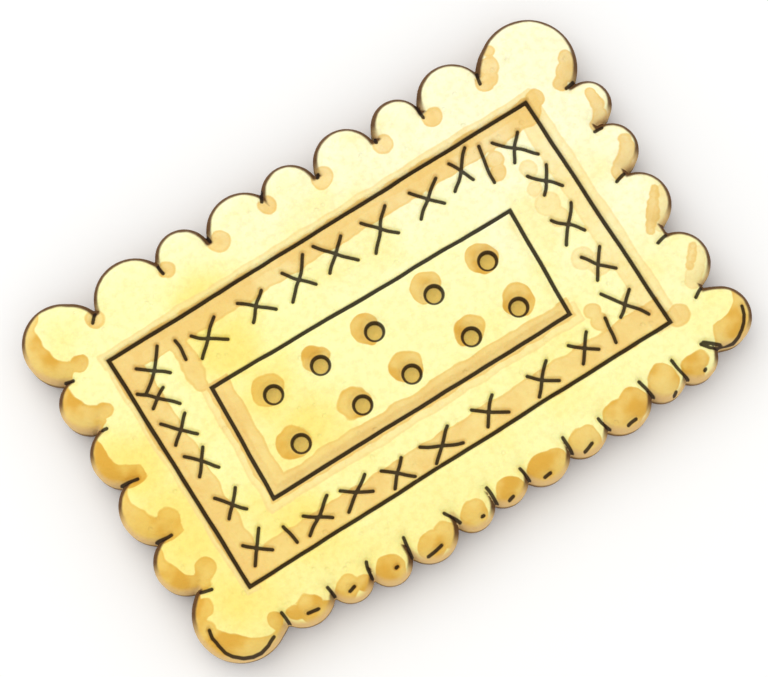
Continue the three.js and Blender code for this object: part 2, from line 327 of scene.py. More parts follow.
@dataclass
class DoughPlan:
    """The biscuit's plan: how far inside its outline a point is, with softly creased notches.

    A ring round it starts where a line from inside to outside crosses it. Its steps shrink in
    the notches, where the inset's slope is less than 1, and each is pulled back to the ring's
    inset, by no more than a share of the step at a time. The ring closes as soon as it comes
    within a share of a step of its start.
    """

    lobes: list[Lobe]
    blend: float = 0.09
    line_start: tuple[float, float] = (20.0, 5.0)
    line_end: tuple[float, float] = (40.0, 5.0)
    halvings: int = 40
    most_steps: int = 20000
    least_steps: int = 100
    least_slope: float = 0.3
    slowing: float = 1.3
    closing: float = 0.75
    corrections: int = 2
    most_pull: float = 0.5
    middles: np.ndarray = field(init=False)
    radii: np.ndarray = field(init=False)
    tongues: np.ndarray = field(init=False)

    def __post_init__(self) -> None:
        """Gathers the lobes into arrays."""
        self.middles = np.array([(lobe.x, lobe.y) for lobe in self.lobes])
        self.radii = np.array([lobe.radius for lobe in self.lobes])
        bearings = np.array([lobe.outwards for lobe in self.lobes])
        lengths = np.array([lobe.tongue for lobe in self.lobes])
        self.tongues = -np.stack([np.cos(bearings), np.sin(bearings)], -1) * lengths[:, None]

    def measure(self, points: np.ndarray) -> tuple[np.ndarray, np.ndarray]:
        """Measures how far inside the outline points are, and the way inwards.

        Args:
            points: Plan points, one a row.

        Returns:
            The inset of each point in millimetres, and its slope.
        """
        from_middle = points[:, None, :] - self.middles
        share = (from_middle * self.tongues).sum(-1) / (self.tongues ** 2).sum(-1)
        away = from_middle - np.clip(share, 0, 1)[..., None] * self.tongues
        distance = np.maximum(np.hypot(away[..., 0], away[..., 1]), TINY)
        left, right, near, far = SLAB
        x, y = points[:, 0], points[:, 1]
        sides = np.stack([x - left, right - x, y - near, far - y], -1)
        ways = np.array([(1.0, 0.0), (-1.0, 0.0), (0.0, 1.0), (0.0, -1.0)])
        depths = np.concatenate([self.radii - distance, sides.min(-1)[:, None]], 1)
        slopes = np.concatenate([-away / distance[..., None], ways[sides.argmin(-1)][:, None]], 1)
        deepest = depths.max(1, keepdims=True)
        weights = np.exp((depths - deepest) / self.blend)
        total = weights.sum(1, keepdims=True)
        inset = deepest[:, 0] + self.blend * np.log(total[:, 0])
        return inset, (weights[..., None] * slopes).sum(1) / total

    def ring(self, level: float, stride: float) -> np.ndarray:
        """Walks round the biscuit at one inset, anticlockwise, with short steps in the notches.

        Args:
            level: The inset to keep, in millimetres.
            stride: The step on plain stretches, in millimetres.

        Returns:
            The points of the closed ring, without the first one repeated.
        """
        inner, outer = np.array(self.line_start), np.array(self.line_end)
        for _ in range(self.halvings):
            middle = (inner + outer) / 2
            if self.measure(middle[None])[0][0] > level:
                inner = middle
            else:
                outer = middle
        points = [inner]
        _, slope = self.measure(inner[None])
        slope = slope[0]
        for _ in range(self.most_steps):
            size = np.hypot(*slope)
            step = stride * min(max(size, self.least_slope), 1.0) ** self.slowing
            point = points[-1] + step * np.array([slope[1], -slope[0]]) / size
            for _ in range(self.corrections):
                depth, slope = self.measure(point[None])
                depth, slope = depth[0], slope[0]
                pull = slope * (level - depth) / (slope @ slope)
                reach = np.hypot(*pull)
                point = point + pull * min(1.0, self.most_pull * step / max(reach, TINY))
            gap = np.hypot(*(point - points[0]))
            if len(points) > self.least_steps and gap < self.closing * step:
                break
            points.append(point)
        return np.array(points)


@dataclass(frozen=True)
class StampMarks:
    """Where the stamp presses: strokes, frame line, panel line and docker holes."""

    def strokes(self) -> np.ndarray:
        """Lists the strokes as rows of x, y, length of the middle line and bearing in radians."""
        rows = []
        for x, y, steep, steep_bearing, shallow, shallow_bearing in CROSSES:
            rows.append((x, y, steep, steep_bearing))
            rows.append((x, y, shallow, shallow_bearing))
        for x, y, length, bearing in CREASES:
            way = math.radians(bearing)
            rows.append((x + math.cos(way) * length / 2, y + math.sin(way) * length / 2,
                         length, bearing))
        for x, y, radius, start, end in BOWS:
            turn = math.radians(end - start) / BOW_CHORDS
            length = 2 * radius * math.sin(turn / 2) + STROKE_WIDTH
            for k in range(BOW_CHORDS):
                way = math.radians(start) + turn * (k + 0.5)
                rows.append((x + math.cos(way) * radius, y + math.sin(way) * radius,
                             length, math.degrees(way) + 90))
        for x, y, length, bearing in NICKS:
            rows.append((x, y, max(length, STROKE_WIDTH + STROKE_CORE), bearing))
        marks = np.array(rows + list(BARS), float)
        marks[:, 2] -= STROKE_WIDTH
        marks[:, 3] = np.radians(marks[:, 3])
        return marks

    def stroke_distance(self, points: np.ndarray) -> np.ndarray:
        """Measures the distance of plan points from the nearest stroke."""
        least = np.full(len(points), np.inf)
        for x, y, length, bearing in self.strokes():
            way = np.array([math.cos(bearing), math.sin(bearing)])
            from_middle = points - (x, y)
            share = np.clip(from_middle @ way, -length / 2, length / 2)
            away = from_middle - share[:, None] * way
            least = np.minimum(least, np.hypot(away[:, 0], away[:, 1]))
        return least

    def hole_distance(self, points: np.ndarray) -> np.ndarray:
        """Measures the distance of plan points from the middle of the nearest docker hole."""
        away = points[:, None, :] - np.array(HOLES)
        return np.hypot(away[..., 0], away[..., 1]).min(1)

    def frame_inset(self, points: np.ndarray) -> np.ndarray:
        """Measures how far plan points are inside the stamped frame."""
        left, right, near, far = FRAME
        x, y = points[:, 0], points[:, 1]
        return np.minimum.reduce([x - left, right - x, y - near, far - y])

    def panel_sides(self, points: np.ndarray) -> list[np.ndarray]:
        """Measures how far plan points are inside each side of the panel: near first, then round."""
        insets = []
        for (ax, ay), (bx, by) in zip(PANEL_CORNERS, PANEL_CORNERS[1:] + PANEL_CORNERS[:1]):
            length = math.hypot(bx - ax, by - ay)
            x, y = points[:, 0] - ax, points[:, 1] - ay
            insets.append(((bx - ax) * y - (by - ay) * x) / length)
        return insets

    def panel_inset(self, points: np.ndarray) -> np.ndarray:
        """Measures how far plan points are inside the panel."""
        return np.minimum.reduce(self.panel_sides(points))


@dataclass(frozen=True)
class PaintedShadeAndRichness:
    """Where the crust is painted tan or richer, as signed millimetres inside each tone's patches:
    painted shade on the lobes' sides away from the light, in the sunk band, on the panel's near and
    left bevels and at the notches, tan about the docker holes, and soft areas of a richer yellow.
    """

    lobes: list[Lobe]
    marks: StampMarks
    # Round patches of each tone, as middle and radius. First the plain painted shade at the frame's
    # right corners, on the far right corner lobe, in the band and on the right lobes.
    plain_spots: tuple = (
        (25.6, 12.9, 1.5), (26.9, 13.6, 1.0), (27.0, -13.9, 1.25),
        (25.7, 20.8, 0.7), (24.8, 19.4, 1.0), (24.0, 18.0, 0.9),
        (32.3, 15.7, 1.0), (31.3, 14.4, 1.2), (30.2, 13.6, 1.0),
        (19.8, 10.6, 0.9), (19.4, 9.1, 0.9), (19.8, -8.7, 0.9), (19.8, -10.1, 1.0),
        (19.4, -12.2, 1.0), (23.5, -12.4, 1.4), (21.6, -13.0, 1.2),
        (-19.0, 11.5, 1.0), (-18.9, 10.6, 1.0), (-18.8, 9.7, 1.1), (-18.9, 8.9, 1.1),
        (-19.0, 8.1, 1.1), (-19.1, 7.4, 1.0), (-19.2, 6.8, 0.9),
        (32.3, 11.1, 0.5), (32.3, 10.4, 0.6), (32.3, 9.7, 0.8), (31.9, 8.7, 0.9), (31.3, 8.0, 0.7),
        (32.6, 5.0, 0.8), (32.4, 4.3, 0.9), (32.1, 3.6, 1.0), (31.5, 3.1, 0.9), (31.0, 2.7, 0.9),
        (30.1, 2.3, 0.7), (32.4, -1.2, 0.6), (31.9, -1.7, 0.75), (31.4, -2.3, 0.8),
        (31.0, -2.9, 0.75), (30.5, -3.5, 0.7), (30.0, -4.2, 0.6), (29.6, -4.8, 0.5),
        (32.4, -8.6, 0.6), (32.0, -9.1, 0.7), (31.5, -9.6, 0.7), (31.0, -10.1, 0.6),
    )
    # Ragged golden painted shade on the near lobes, which turn from the light, then at the
    # notches of the left side.
    gold_spots: tuple = (
        (-20.5, -20.4, 1.0), (-21.9, -19.0, 1.5), (-23.5, -18.7, 1.0), (-17.5, -19.5, 1.4),
        (-15.9, -20.0, 1.0), (-12.7, -20.3, 1.6), (-7.8, -20.5, 1.5), (-5.8, -20.4, 1.4),
        (-2.4, -20.1, 1.5), (2.1, -20.0, 1.6), (6.4, -20.0, 1.8), (7.9, -19.9, 1.3),
        (11.6, -19.8, 1.8), (16.2, -19.8, 1.9), (18.2, -19.1, 1.5), (21.9, -19.0, 1.8),
        (25.5, -19.3, 1.3), (26.5, -19.0, 1.1),
        (-28.6, 15.4, 0.9), (-29.2, 9.6, 0.9), (-29.6, 2.2, 0.8), (-29.4, -3.7, 1.2),
        (-29.1, -9.9, 1.2), (-25.6, -18.4, 0.8), (-31.3, -13.5, 1.0), (-31.9, -15.4, 1.0),
    )
    # Faint painted shade in the band, then beside the plain shade of two right lobes.
    faint_spots: tuple = (
        (21.7, 5.6, 0.9), (22.0, 3.5, 1.4), (22.3, 1.6, 1.1), (21.9, -3.4, 1.3), (23.2, -4.8, 1.3),
        (22.3, 7.8, 1.0), (24.0, -10.2, 1.5), (-24.2, 13.0, 1.6),
        (32.9, -1.9, 0.9), (32.5, -2.7, 1.0), (32.0, -3.4, 1.0), (31.5, -4.0, 1.0),
        (30.8, -4.6, 0.9), (32.8, -9.4, 0.8), (32.2, -10.0, 0.9), (31.5, -10.6, 1.0),
        (30.8, -11.2, 1.0), (30.2, -11.7, 0.8),
    )
    # Round patches of crust about the docker holes, which lie a little off their middles.
    hole_spots: tuple = (
        (-13.5, 2.5, 1.75), (-7.6, 2.5, 1.5), (-1.5, 2.4, 1.6), (6.2, 2.8, 1.8), (12.9, 2.4, 1.7),
        (-14.4, -3.8, 1.8), (-6.8, -3.6, 1.8), (0.0, -3.3, 1.8), (7.6, -3.4, 1.7), (13.9, -3.6, 1.8),
    )
    # Small patches of painted shade in the creases at the inner ends of the far notches.
    notch_spots: tuple = (
        (-24.9, 18.6, 1.1), (-15.7, 18.9, 1.1), (-9.6, 18.6, 1.2), (-3.2, 19.2, 1.1),
        (3.3, 18.6, 1.2), (10.8, 18.3, 1.2), (16.6, 17.9, 1.1), (23.4, 17.9, 1.0),
    )
    # Wide soft areas of a richer yellow.
    rich_spots: tuple = (
        (-15, 13, 3.1), (-14, 8, 3.7), (-13, 2, 4.2), (-12, -3, 4.2), (-18, -11, 3.1),
        (-29, -7, 3.7), (-28, -15, 4.7), (-30, 4, 2.1),
    )

    def spots(self, points: np.ndarray, discs: tuple) -> np.ndarray:
        """Measures how far inside the nearest of some round patches plan points are."""
        return np.maximum.reduce([radius - np.hypot(points[:, 0] - x, points[:, 1] - y)
                                  for x, y, radius in discs])

    def crescents(self, points: np.ndarray) -> np.ndarray:
        """Measures how far inside the nearest of the lobes' crescents of painted shade plan points
        are.
        """
        return np.maximum.reduce([lobe.crescent_inset(points)
                                  for lobe in self.lobes if lobe.shaded_share > 0])

    def strips(self, *rows: tuple) -> np.ndarray:
        """Measures how far inside the nearest of some strips plan points are.

        Args:
            rows: For each strip the distances from its side, where it starts and ends by them,
                the distances from the sides across its ends, and how far it runs past those.

        Returns:
            Signed millimetres.
        """
        return np.maximum.reduce([
            np.minimum.reduce([away - start, end - away, along + overrun])
            for away, start, end, along, overrun in rows])

    def band(self, points: np.ndarray) -> tuple[np.ndarray, np.ndarray]:
        """Measures the strips of painted shade along the stamped frame, mostly inside it where the
        band sinks.

        Args:
            points: Plan points.

        Returns:
            Signed millimetres inside the plain strips and inside the faint strips.
        """
        left, right, near, far = FRAME
        middle = LINE_WIDTH / 2
        x, y = points[:, 0], points[:, 1]
        from_left, from_right = x - left - middle, right - x - middle
        from_near, from_far = y - near - middle, far - y - middle
        along_x = np.minimum(from_left, from_right)
        along_y = np.minimum(from_near, from_far)
        plain = self.strips(
            (from_far, -0.3, 2.5, along_x, 0.3), (from_left, -0.3, 3.0, along_y, 0.3),
            (from_near, -0.1, 3.0, along_x, 0.3))
        faint = self.strips(
            (from_far, -1.0, 1.0, along_x, 1.0), (from_left, -0.8, 1.0, along_y, 0.8),
            (from_right, -1.2, 1.9, along_y, 0.6))
        return plain, faint

    def panel(self, points: np.ndarray) -> tuple[np.ndarray, np.ndarray]:
        """Measures the strips of painted shade inside and outside the near and left panel lines,
        where the panel's bevel turns from the light.

        Args:
            points: Plan points.

        Returns:
            Signed millimetres inside the plain strips and inside the faint strips.
        """
        sides = self.marks.panel_sides(points)
        near, right, far, left = (side + LINE_WIDTH / 2 for side in sides)
        inside = np.minimum.reduce([near, right, far, left])
        plain = self.strips((left, -0.5, 2.1, inside, 0.5), (near, -0.5, 1.7, inside, 0.5))
        faint = self.strips((near, -1.3, 1.0, np.minimum(left, right), 1.0),
                            (left, -1.2, 1.0, np.minimum(near + 1.0, far + 0.6), 0.0))
        return plain, faint

    def tones(self, points: np.ndarray) -> dict[Tone, np.ndarray]:
        """Measures all the patches of each tone.

        Args:
            points: Plan points.

        Returns:
            Signed millimetres inside the patches, by tone.
        """
        band_plain, band_faint = self.band(points)
        panel_plain, panel_faint = self.panel(points)
        return {
            Tone.RICH: self.spots(points, self.rich_spots),
            Tone.FAINT: np.maximum.reduce(
                [band_faint, panel_faint, self.spots(points, self.faint_spots)]),
            Tone.PLAIN: np.maximum.reduce(
                [band_plain, panel_plain,
                 self.spots(points, self.plain_spots + self.notch_spots)]),
            Tone.GOLD: np.maximum.reduce(
                [self.crescents(points), self.spots(points, self.gold_spots + self.hole_spots)]),
        }


@dataclass
class DoughMesh:
    """The closed mesh of the dough, still flat on top: the stamp shapes it afterwards."""

    plan: DoughPlan
    marks: StampMarks
    rings: int = 12
    outline_stride: float = 0.17
    coarse_step: float = 0.31
    fine_step: float = 0.16
    wall_heights: tuple[float, ...] = (3.35, 2.75, 2.1, 1.5, 1.0, 0.6, 0.3, 0.1, 0.0)
    pit_radii: tuple[float, ...] = (1.12, 1.04, 0.99, 0.94, 0.89, 0.84, 0.79, 0.62, 0.42, 0.2)
    pit_sides: int = 30
    base_step: float = 1.4
    # Half the box that scattered points fill, and how far they stray, as shares of their step.
    half_box: tuple[float, float] = (35.0, 23.5)
    coarse_jitter: float = 0.2
    fine_jitter: float = 0.12
    base_jitter: float = 0.1
    # How far from the lines, the panel's edge, the strokes and the dimples points lie close.
    line_reach: float = 0.75
    panel_reach: float = 1.05
    stroke_reach: float = 0.62
    dimple_reach: float = 0.1
    # The room that scattered points leave at the outline, the rings, the top of the crown and
    # the pits, and as a share of their step at the foot.
    outline_room: float = 0.3
    ring_room: float = 0.06
    crown_room: float = 0.18
    pit_room: float = 0.08
    foot_room: float = 0.6
    # Points that lie closer than this become one.
    merging: float = 1e-7

    def hexagons(self, step: float, jitter: float, random: np.random.Generator) -> np.ndarray:
        """Scatters plan points over the biscuit's box in a loosened hexagon pattern.

        Args:
            step: Distance between neighbours.
            jitter: How far a point may stray, as a share of the step.
            random: The seeded source of the straying.

        Returns:
            The points.
        """
        half_length, half_width = self.half_box
        columns = np.arange(-half_length, half_length, step)
        rows = np.arange(-half_width, half_width, step * math.sqrt(3) / 2)
        x, y = np.meshgrid(columns, rows)
        x = x + (np.arange(len(rows)) % 2)[:, None] * step / 2
        points = np.stack([x.ravel(), y.ravel()], -1)
        return points + random.uniform(-jitter, jitter, points.shape) * step

    def is_marked(self, points: np.ndarray) -> np.ndarray:
        """Tells which plan points lie near a pressed line, stroke or dimple."""
        frame_inset = self.marks.frame_inset(points)
        panel_inset = self.marks.panel_inset(points)
        near_frame = np.abs(frame_inset - LINE_WIDTH / 2) < self.line_reach
        near_panel = np.abs(panel_inset) < self.panel_reach
        near_stroke = self.marks.stroke_distance(points) < self.stroke_reach
        near_hole = self.marks.hole_distance(points) < DIMPLE_RADIUS + self.dimple_reach
        return near_frame | near_panel | near_stroke | near_hole

    def top_sheet(self) -> tuple[np.ndarray, np.ndarray, int]:
        """Makes the flat plan of the top as triangles.

        Returns:
            The points, the triangles, and how many of the first points are the outline.
        """
        levels = [CROWN_WIDTH * (1 - math.cos(math.radians(90) * k / (self.rings - 1)))
                  for k in range(self.rings)]
        chains = self.crown_rings(levels) + self.pit_rings()
        outline_count = len(chains[0])
        edges = []
        count = 0
        for chain in chains:
            ids = np.arange(count, count + len(chain))
            edges.extend(zip(ids.tolist(), np.roll(ids, -1).tolist()))
            count += len(chain)
        points = np.concatenate(chains + [self.filler(levels), np.array(HOLES)])
        triangles = self.triangulate(points, edges, outline_count)
        LOG.info("top sheet: %d outline points, %d points", outline_count, len(points))
        return points, triangles, outline_count

    def crown_rings(self, levels: list[float]) -> list[np.ndarray]:
        """Makes the rings of points up the crown, the outline first."""
        longer = self.coarse_step - self.outline_stride
        return [self.plan.ring(level, self.outline_stride + longer * k / self.rings)
                for k, level in enumerate(levels)]

    def pit_rings(self) -> list[np.ndarray]:
        """Makes the rings of points round the docker holes."""
        around = np.arange(self.pit_sides) * 2 * math.pi / self.pit_sides
        circle = np.stack([np.cos(around), np.sin(around)], -1)
        return [np.array(hole) + radius * circle for hole in HOLES for radius in self.pit_radii]

    def filler(self, levels: list[float]) -> np.ndarray:
        """Scatters the points between the rings, close together where the stamp presses.

        Args:
            levels: The insets of the crown's rings.

        Returns:
            The points.
        """
        random = np.random.default_rng(SEED)
        coarse = self.hexagons(self.coarse_step, self.coarse_jitter, random)
        coarse = coarse[~self.is_marked(coarse)]
        fine = self.hexagons(self.fine_step, self.fine_jitter, random)
        fine = fine[self.is_marked(fine)]
        points = np.concatenate([coarse, fine])
        inset = self.plan.measure(points)[0]
        from_ring = np.abs(inset[:, None] - np.array(levels)).min(1)
        on_crown = (inset > self.outline_room) & (from_ring > self.ring_room)
        on_crown &= self.marks.stroke_distance(points) < self.stroke_reach
        keep = (inset > CROWN_WIDTH + self.crown_room) | on_crown
        keep &= self.marks.hole_distance(points) > self.pit_radii[0] + self.pit_room
        return points[keep]

    def triangulate(self, points: np.ndarray, edges: list, count: int) -> np.ndarray:
        """Joins plan points into triangles inside the outline, all the same way round.

        Args:
            points: Plan points, the outline's first.
            edges: Pairs of point numbers that stay joined.
            count: How many of the first points are the outline.

        Returns:
            The triangles, as numbers of the points.
        """
        outline = [list(range(count))]
        vectors = [Vector(point) for point in points.tolist()]
        made = delaunay_2d_cdt(vectors, edges, outline, INSIDE_ONLY, self.merging)
        if len(made[0]) != len(points):
            LOG.warning("triangulation changed %d points to %d", len(points), len(made[0]))
        back = np.array([ids[0] if ids else -1 for ids in made[3]])
        triangles = back[np.array(made[2])]
        triangles = triangles[(triangles >= 0).all(1)]
        corners = points[triangles]
        one, two = corners[:, 1] - corners[:, 0], corners[:, 2] - corners[:, 0]
        turned = one[:, 0] * two[:, 1] - one[:, 1] * two[:, 0] < 0
        triangles[turned] = triangles[turned][:, ::-1]
        return triangles

    def foot_inset(self, height: float) -> float:
        """Gives how far the wall has drawn in at a height above the underside."""
        low = max(FOOT_HEIGHT - height, 0) / CROWN_DROP
        return CROWN_WIDTH * (1 - math.cos(math.asin(low)))

    def build(self) -> tuple[np.ndarray, np.ndarray, np.ndarray]:
        """Makes the whole closed mesh.

        Returns:
            The points with heights, the triangles, and 1 or 0 by point for whether it is on top.
        """
        top, top_triangles, count = self.top_sheet()
        outline = top[:count]
        slope = self.plan.measure(outline)[1]
        inwards = slope / np.hypot(slope[:, 0], slope[:, 1])[:, None]
        points = [np.column_stack([top, np.full(len(top), RIM_HEIGHT)])]
        triangles = [top_triangles]
        ring = np.arange(count)
        start = len(top)
        for height in self.wall_heights:
            row = outline + self.foot_inset(height) * inwards
            points.append(np.column_stack([row, np.full(count, height)]))
            lower = np.arange(start, start + count)
            after, lower_after = np.roll(ring, -1), np.roll(lower, -1)
            triangles.append(np.stack([ring, lower, after], -1))
            triangles.append(np.stack([after, lower, lower_after], -1))
            ring = lower
            start += count
        foot = points[-1][:, :2]
        filler = self.hexagons(self.base_step, self.base_jitter, np.random.default_rng(SEED))
        filler = filler[self.plan.measure(filler)[0] > self.base_step * self.foot_room]
        base = np.concatenate([foot, filler])
        base_triangles = self.triangulate(base, [], count)[:, ::-1]
        number = np.concatenate([ring, np.arange(start, start + len(filler))])
        points.append(np.column_stack([filler, np.zeros(len(filler))]))
        triangles.append(number[base_triangles])
        points = np.concatenate(points)
        on_top = (np.arange(len(points)) < len(top)).astype(float)
        return points, np.concatenate(triangles), on_top


@dataclass(frozen=True)
class Stamp:
    """The node tree that raises the crown and presses the marks, then roughens the crust."""

    line_wobble: float = 0.16
    wobble_size: float = 7.0
    groove_half: float = 0.44
    groove_floor: float = 0.10
    swell: float = 0.09
    swell_size: float = 9.0
    grain: float = 0.05
    grain_size: float = 1.3
    bend: float = 1.3
    bend_size: float = 4.0
    stroke_points: int = 12
    # Where the band steps down from the frame line's middle, and where the panel steps up.
    band_step: tuple[float, float] = (-0.1, 0.45)
    panel_step: tuple[float, float] = (-0.1, PANEL_SLOPE)
    # Outside the frame a stroke is shallow at the outline and deep on the flat.
    crease_start: float = 0.2
    crease_share: float = 0.3
    frame_blend: float = 0.3
    # How far a dimple and a pit round over into the dough about them.
    dimple_lip: float = 0.1
    pit_lip: float = 0.02
    # The insets between which marks and grain come in.
    off_edge: tuple[float, float] = (0.05, 0.9)

    def interface(self, tree: Any, crust: Any) -> dict[str, Any]:
        """Adds the tree's named inputs and its output.

        Args:
            tree: The geometry tree.
            crust: The material that the tree sets.

        Returns:
            The input values by socket identifier, without the objects.
        """
        tree.interface.new_socket("Dough", in_out="INPUT", socket_type="NodeSocketGeometry")
        tree.interface.new_socket("Biscuit", in_out="OUTPUT", socket_type="NodeSocketGeometry")
        for name in ("Strokes", "Holes"):
            tree.interface.new_socket(name, in_out="INPUT", socket_type="NodeSocketObject")
        values = {
            "Crown width": CROWN_WIDTH, "Crown drop": CROWN_DROP, "Line depth": LINE_DEPTH,
            "Band depth": BAND_DEPTH, "Panel rise": BAND_DEPTH - PANEL_DROP,
            "Line wobble": self.line_wobble,
            "Swell": self.swell, "Grain": self.grain, "Seed": float(SEED),
        }
        sizes = {}
        for name, value in values.items():
            socket = tree.interface.new_socket(name, in_out="INPUT", socket_type="NodeSocketFloat")
            sizes[socket.identifier] = value
        socket = tree.interface.new_socket("Crust", in_out="INPUT", socket_type="NodeSocketMaterial")
        sizes[socket.identifier] = crust
        return sizes

    def tree(self, crust: Any) -> tuple[Any, dict[str, Any]]:
        """Builds the node tree.

        Args:
            crust: The material for the whole biscuit.

        Returns:
            The tree, and its input values by socket identifier.
        """
        tree = bpy.data.node_groups.new("stamp_and_bake", "GeometryNodeTree")
        sizes = self.interface(tree, crust)
        given = add_node(tree, "NodeGroupInput").node.outputs
        place = add_node(tree, "GeometryNodeInputPosition")
        flat = add_node(tree, VECTOR_MATH, MULTIPLY, {0: place, 1: (1, 1, 0)})
        plan = add_node(tree, VECTOR_MATH, MULTIPLY, {0: flat, 1: (1 / MM, 1 / MM, 0)})
        inset, on_top, frame_in, panel_in = (
            add_node(tree, "GeometryNodeInputNamedAttribute", NUMBER, {0: name})
            for name in ("inset", "on_top", "frame_in", "panel_in"))

        # The two stamped lines wander a little, as a worn stamp leaves them.
        wander = self.waver(tree, given, plan, "Line wobble", self.wobble_size, 2.0)
        frame_in = add_node(tree, MATH, ADD, {0: frame_in, 1: wander})
        panel_in = add_node(tree, MATH, ADD, {0: panel_in, 1: wander})
        from_line, groove, level = self.lines(tree, given, frame_in, panel_in)
        from_stroke = self.from_stroke(tree, given, plan, flat)
        stroke = self.stroke_depth(tree, from_stroke, inset, frame_in)
        from_hole, pit = self.holes(tree, given, flat)

        # All marks together, then the crust's slow swells and fine grain.
        pressed = add_node(tree, MATH, ADD, {0: level, 1: stroke})
        pressed = add_node(tree, MATH, LARGER, {0: pressed, 1: groove})
        pressed = add_node(tree, MATH, ADD, {0: pressed, 1: pit})
        off_edge = add_node(tree, RANGE, EASE, {0: inset, **across(self.off_edge)})
        pressed = add_node(tree, MATH, MULTIPLY, {0: pressed, 1: off_edge})
        swell = self.waver(tree, given, plan, "Swell", self.swell_size, 1.0)
        grain = self.waver(tree, given, plan, "Grain", self.grain_size, 3.0)
        relief = add_node(tree, MATH, ADD, {0: swell, 1: grain})
        relief = add_node(tree, MATH, MULTIPLY, {0: relief, 1: off_edge})
        height = add_node(tree, MATH, SUBTRACT, {0: self.crown(tree, given, inset), 1: pressed})
        height = add_node(tree, MATH, ADD, {0: height, 1: relief})
        height = add_node(tree, MATH, MULTIPLY, {0: height, 1: on_top})
        height = add_node(tree, MATH, MULTIPLY, {0: height, 1: MM})
        lift = add_node(tree, "ShaderNodeCombineXYZ", {}, {"Z": height})

        # The material paints shade into the marks by these distances.
        from_stroke = add_node(tree, MATH, DIVIDE, {0: from_stroke, 1: MM})
        geometry = given["Dough"]
        for name, value in (("from_line", from_line), ("from_stroke", from_stroke),
                            ("from_hole", from_hole)):
            geometry = add_node(tree, "GeometryNodeStoreNamedAttribute", NUMBER,
                                {"Geometry": geometry, "Name": name, "Value": value})
        geometry = add_node(tree, "GeometryNodeSetPosition", {},
                            {"Geometry": geometry, "Offset": lift})
        geometry = add_node(tree, "GeometryNodeRealizeInstances", {}, {0: geometry})
        geometry = add_node(tree, "GeometryNodeSetMaterial", {},
                            {"Geometry": geometry, "Material": given["Crust"]})
        add_node(tree, "NodeGroupOutput", {}, {0: geometry})
        return tree, sizes

    def waver(self, tree: Any, given: Any, plan: Any, amount: str, size: float,
              detail: float) -> Any:
        """Makes a seeded noise that swings both ways by one of the tree's named inputs.

        Args:
            tree: The geometry tree.
            given: The tree's input sockets.
            plan: The socket of the plan position in millimetres.
            amount: The name of the input that it swings by.
            size: Width of the noise's swells in millimetres.
            detail: How many finer layers the noise has.

        Returns:
            The noise's socket, in millimetres.
        """
        noise = add_node(tree, NOISE, SEEDED, {
            "Vector": plan, "W": given["Seed"], "Scale": 1 / size, "Detail": detail})
        swing = add_node(tree, RANGE, {}, {0: noise, 3: -1.0})
        return add_node(tree, MATH, MULTIPLY, {0: swing, 1: given[amount]})

    def crown(self, tree: Any, given: Any, inset: Any) -> Any:
        """Raises the crown, a quarter of an ellipse from the outline up to the flat top.

        Args:
            tree: The geometry tree.
            given: The tree's input sockets.
            inset: The socket of the distance inside the outline.

        Returns:
            The socket of its height above the wall, in millimetres.
        """
        share = add_node(tree, MATH, {**DIVIDE, "use_clamp": True},
                         {0: inset, 1: given["Crown width"]})
        rest = add_node(tree, MATH, SUBTRACT, {0: 2.0, 1: share})
        square = add_node(tree, MATH, MULTIPLY, {0: share, 1: rest})
        arc = add_node(tree, MATH, {"operation": "SQRT"}, {0: square})
        return add_node(tree, MATH, MULTIPLY, {0: arc, 1: given["Crown drop"]})

    def lines(self, tree: Any, given: Any, frame_in: Any, panel_in: Any) -> tuple[Any, Any, Any]:
        """Presses the two stamped lines, the band between them and the panel inside them.

        Args:
            tree: The geometry tree.
            given: The tree's input sockets.
            frame_in: The socket of the distance inside the frame.
            panel_in: The socket of the distance inside the panel.

        Returns:
            Sockets, in millimetres: the distance from the nearer line's middle, the depth of
            its groove, and the depth of the ground.
        """
        middle = LINE_WIDTH / 2
        from_frame = add_node(tree, MATH, SUBTRACT, {0: frame_in, 1: middle})
        from_frame = add_node(tree, MATH, ABSOLUTE, {0: from_frame})
        from_panel = add_node(tree, MATH, ADD, {0: panel_in, 1: middle})
        from_panel = add_node(tree, MATH, ABSOLUTE, {0: from_panel})
        from_line = add_node(tree, MATH, {"operation": "MINIMUM"}, {0: from_frame, 1: from_panel})
        groove = add_node(tree, RANGE, EASE, {
            0: from_line, 1: self.groove_half, 2: self.groove_floor})
        groove = add_node(tree, MATH, MULTIPLY, {0: groove, 1: given["Line depth"]})
        start, end = self.band_step
        band = add_node(tree, RANGE, EASE, {
            0: frame_in, 1: middle + start, 2: middle + end, 4: given["Band depth"]})
        panel = add_node(tree, RANGE, EASE, {
            0: panel_in, **across(self.panel_step), 4: given["Panel rise"]})
        return from_line, groove, add_node(tree, MATH, SUBTRACT, {0: band, 1: panel})

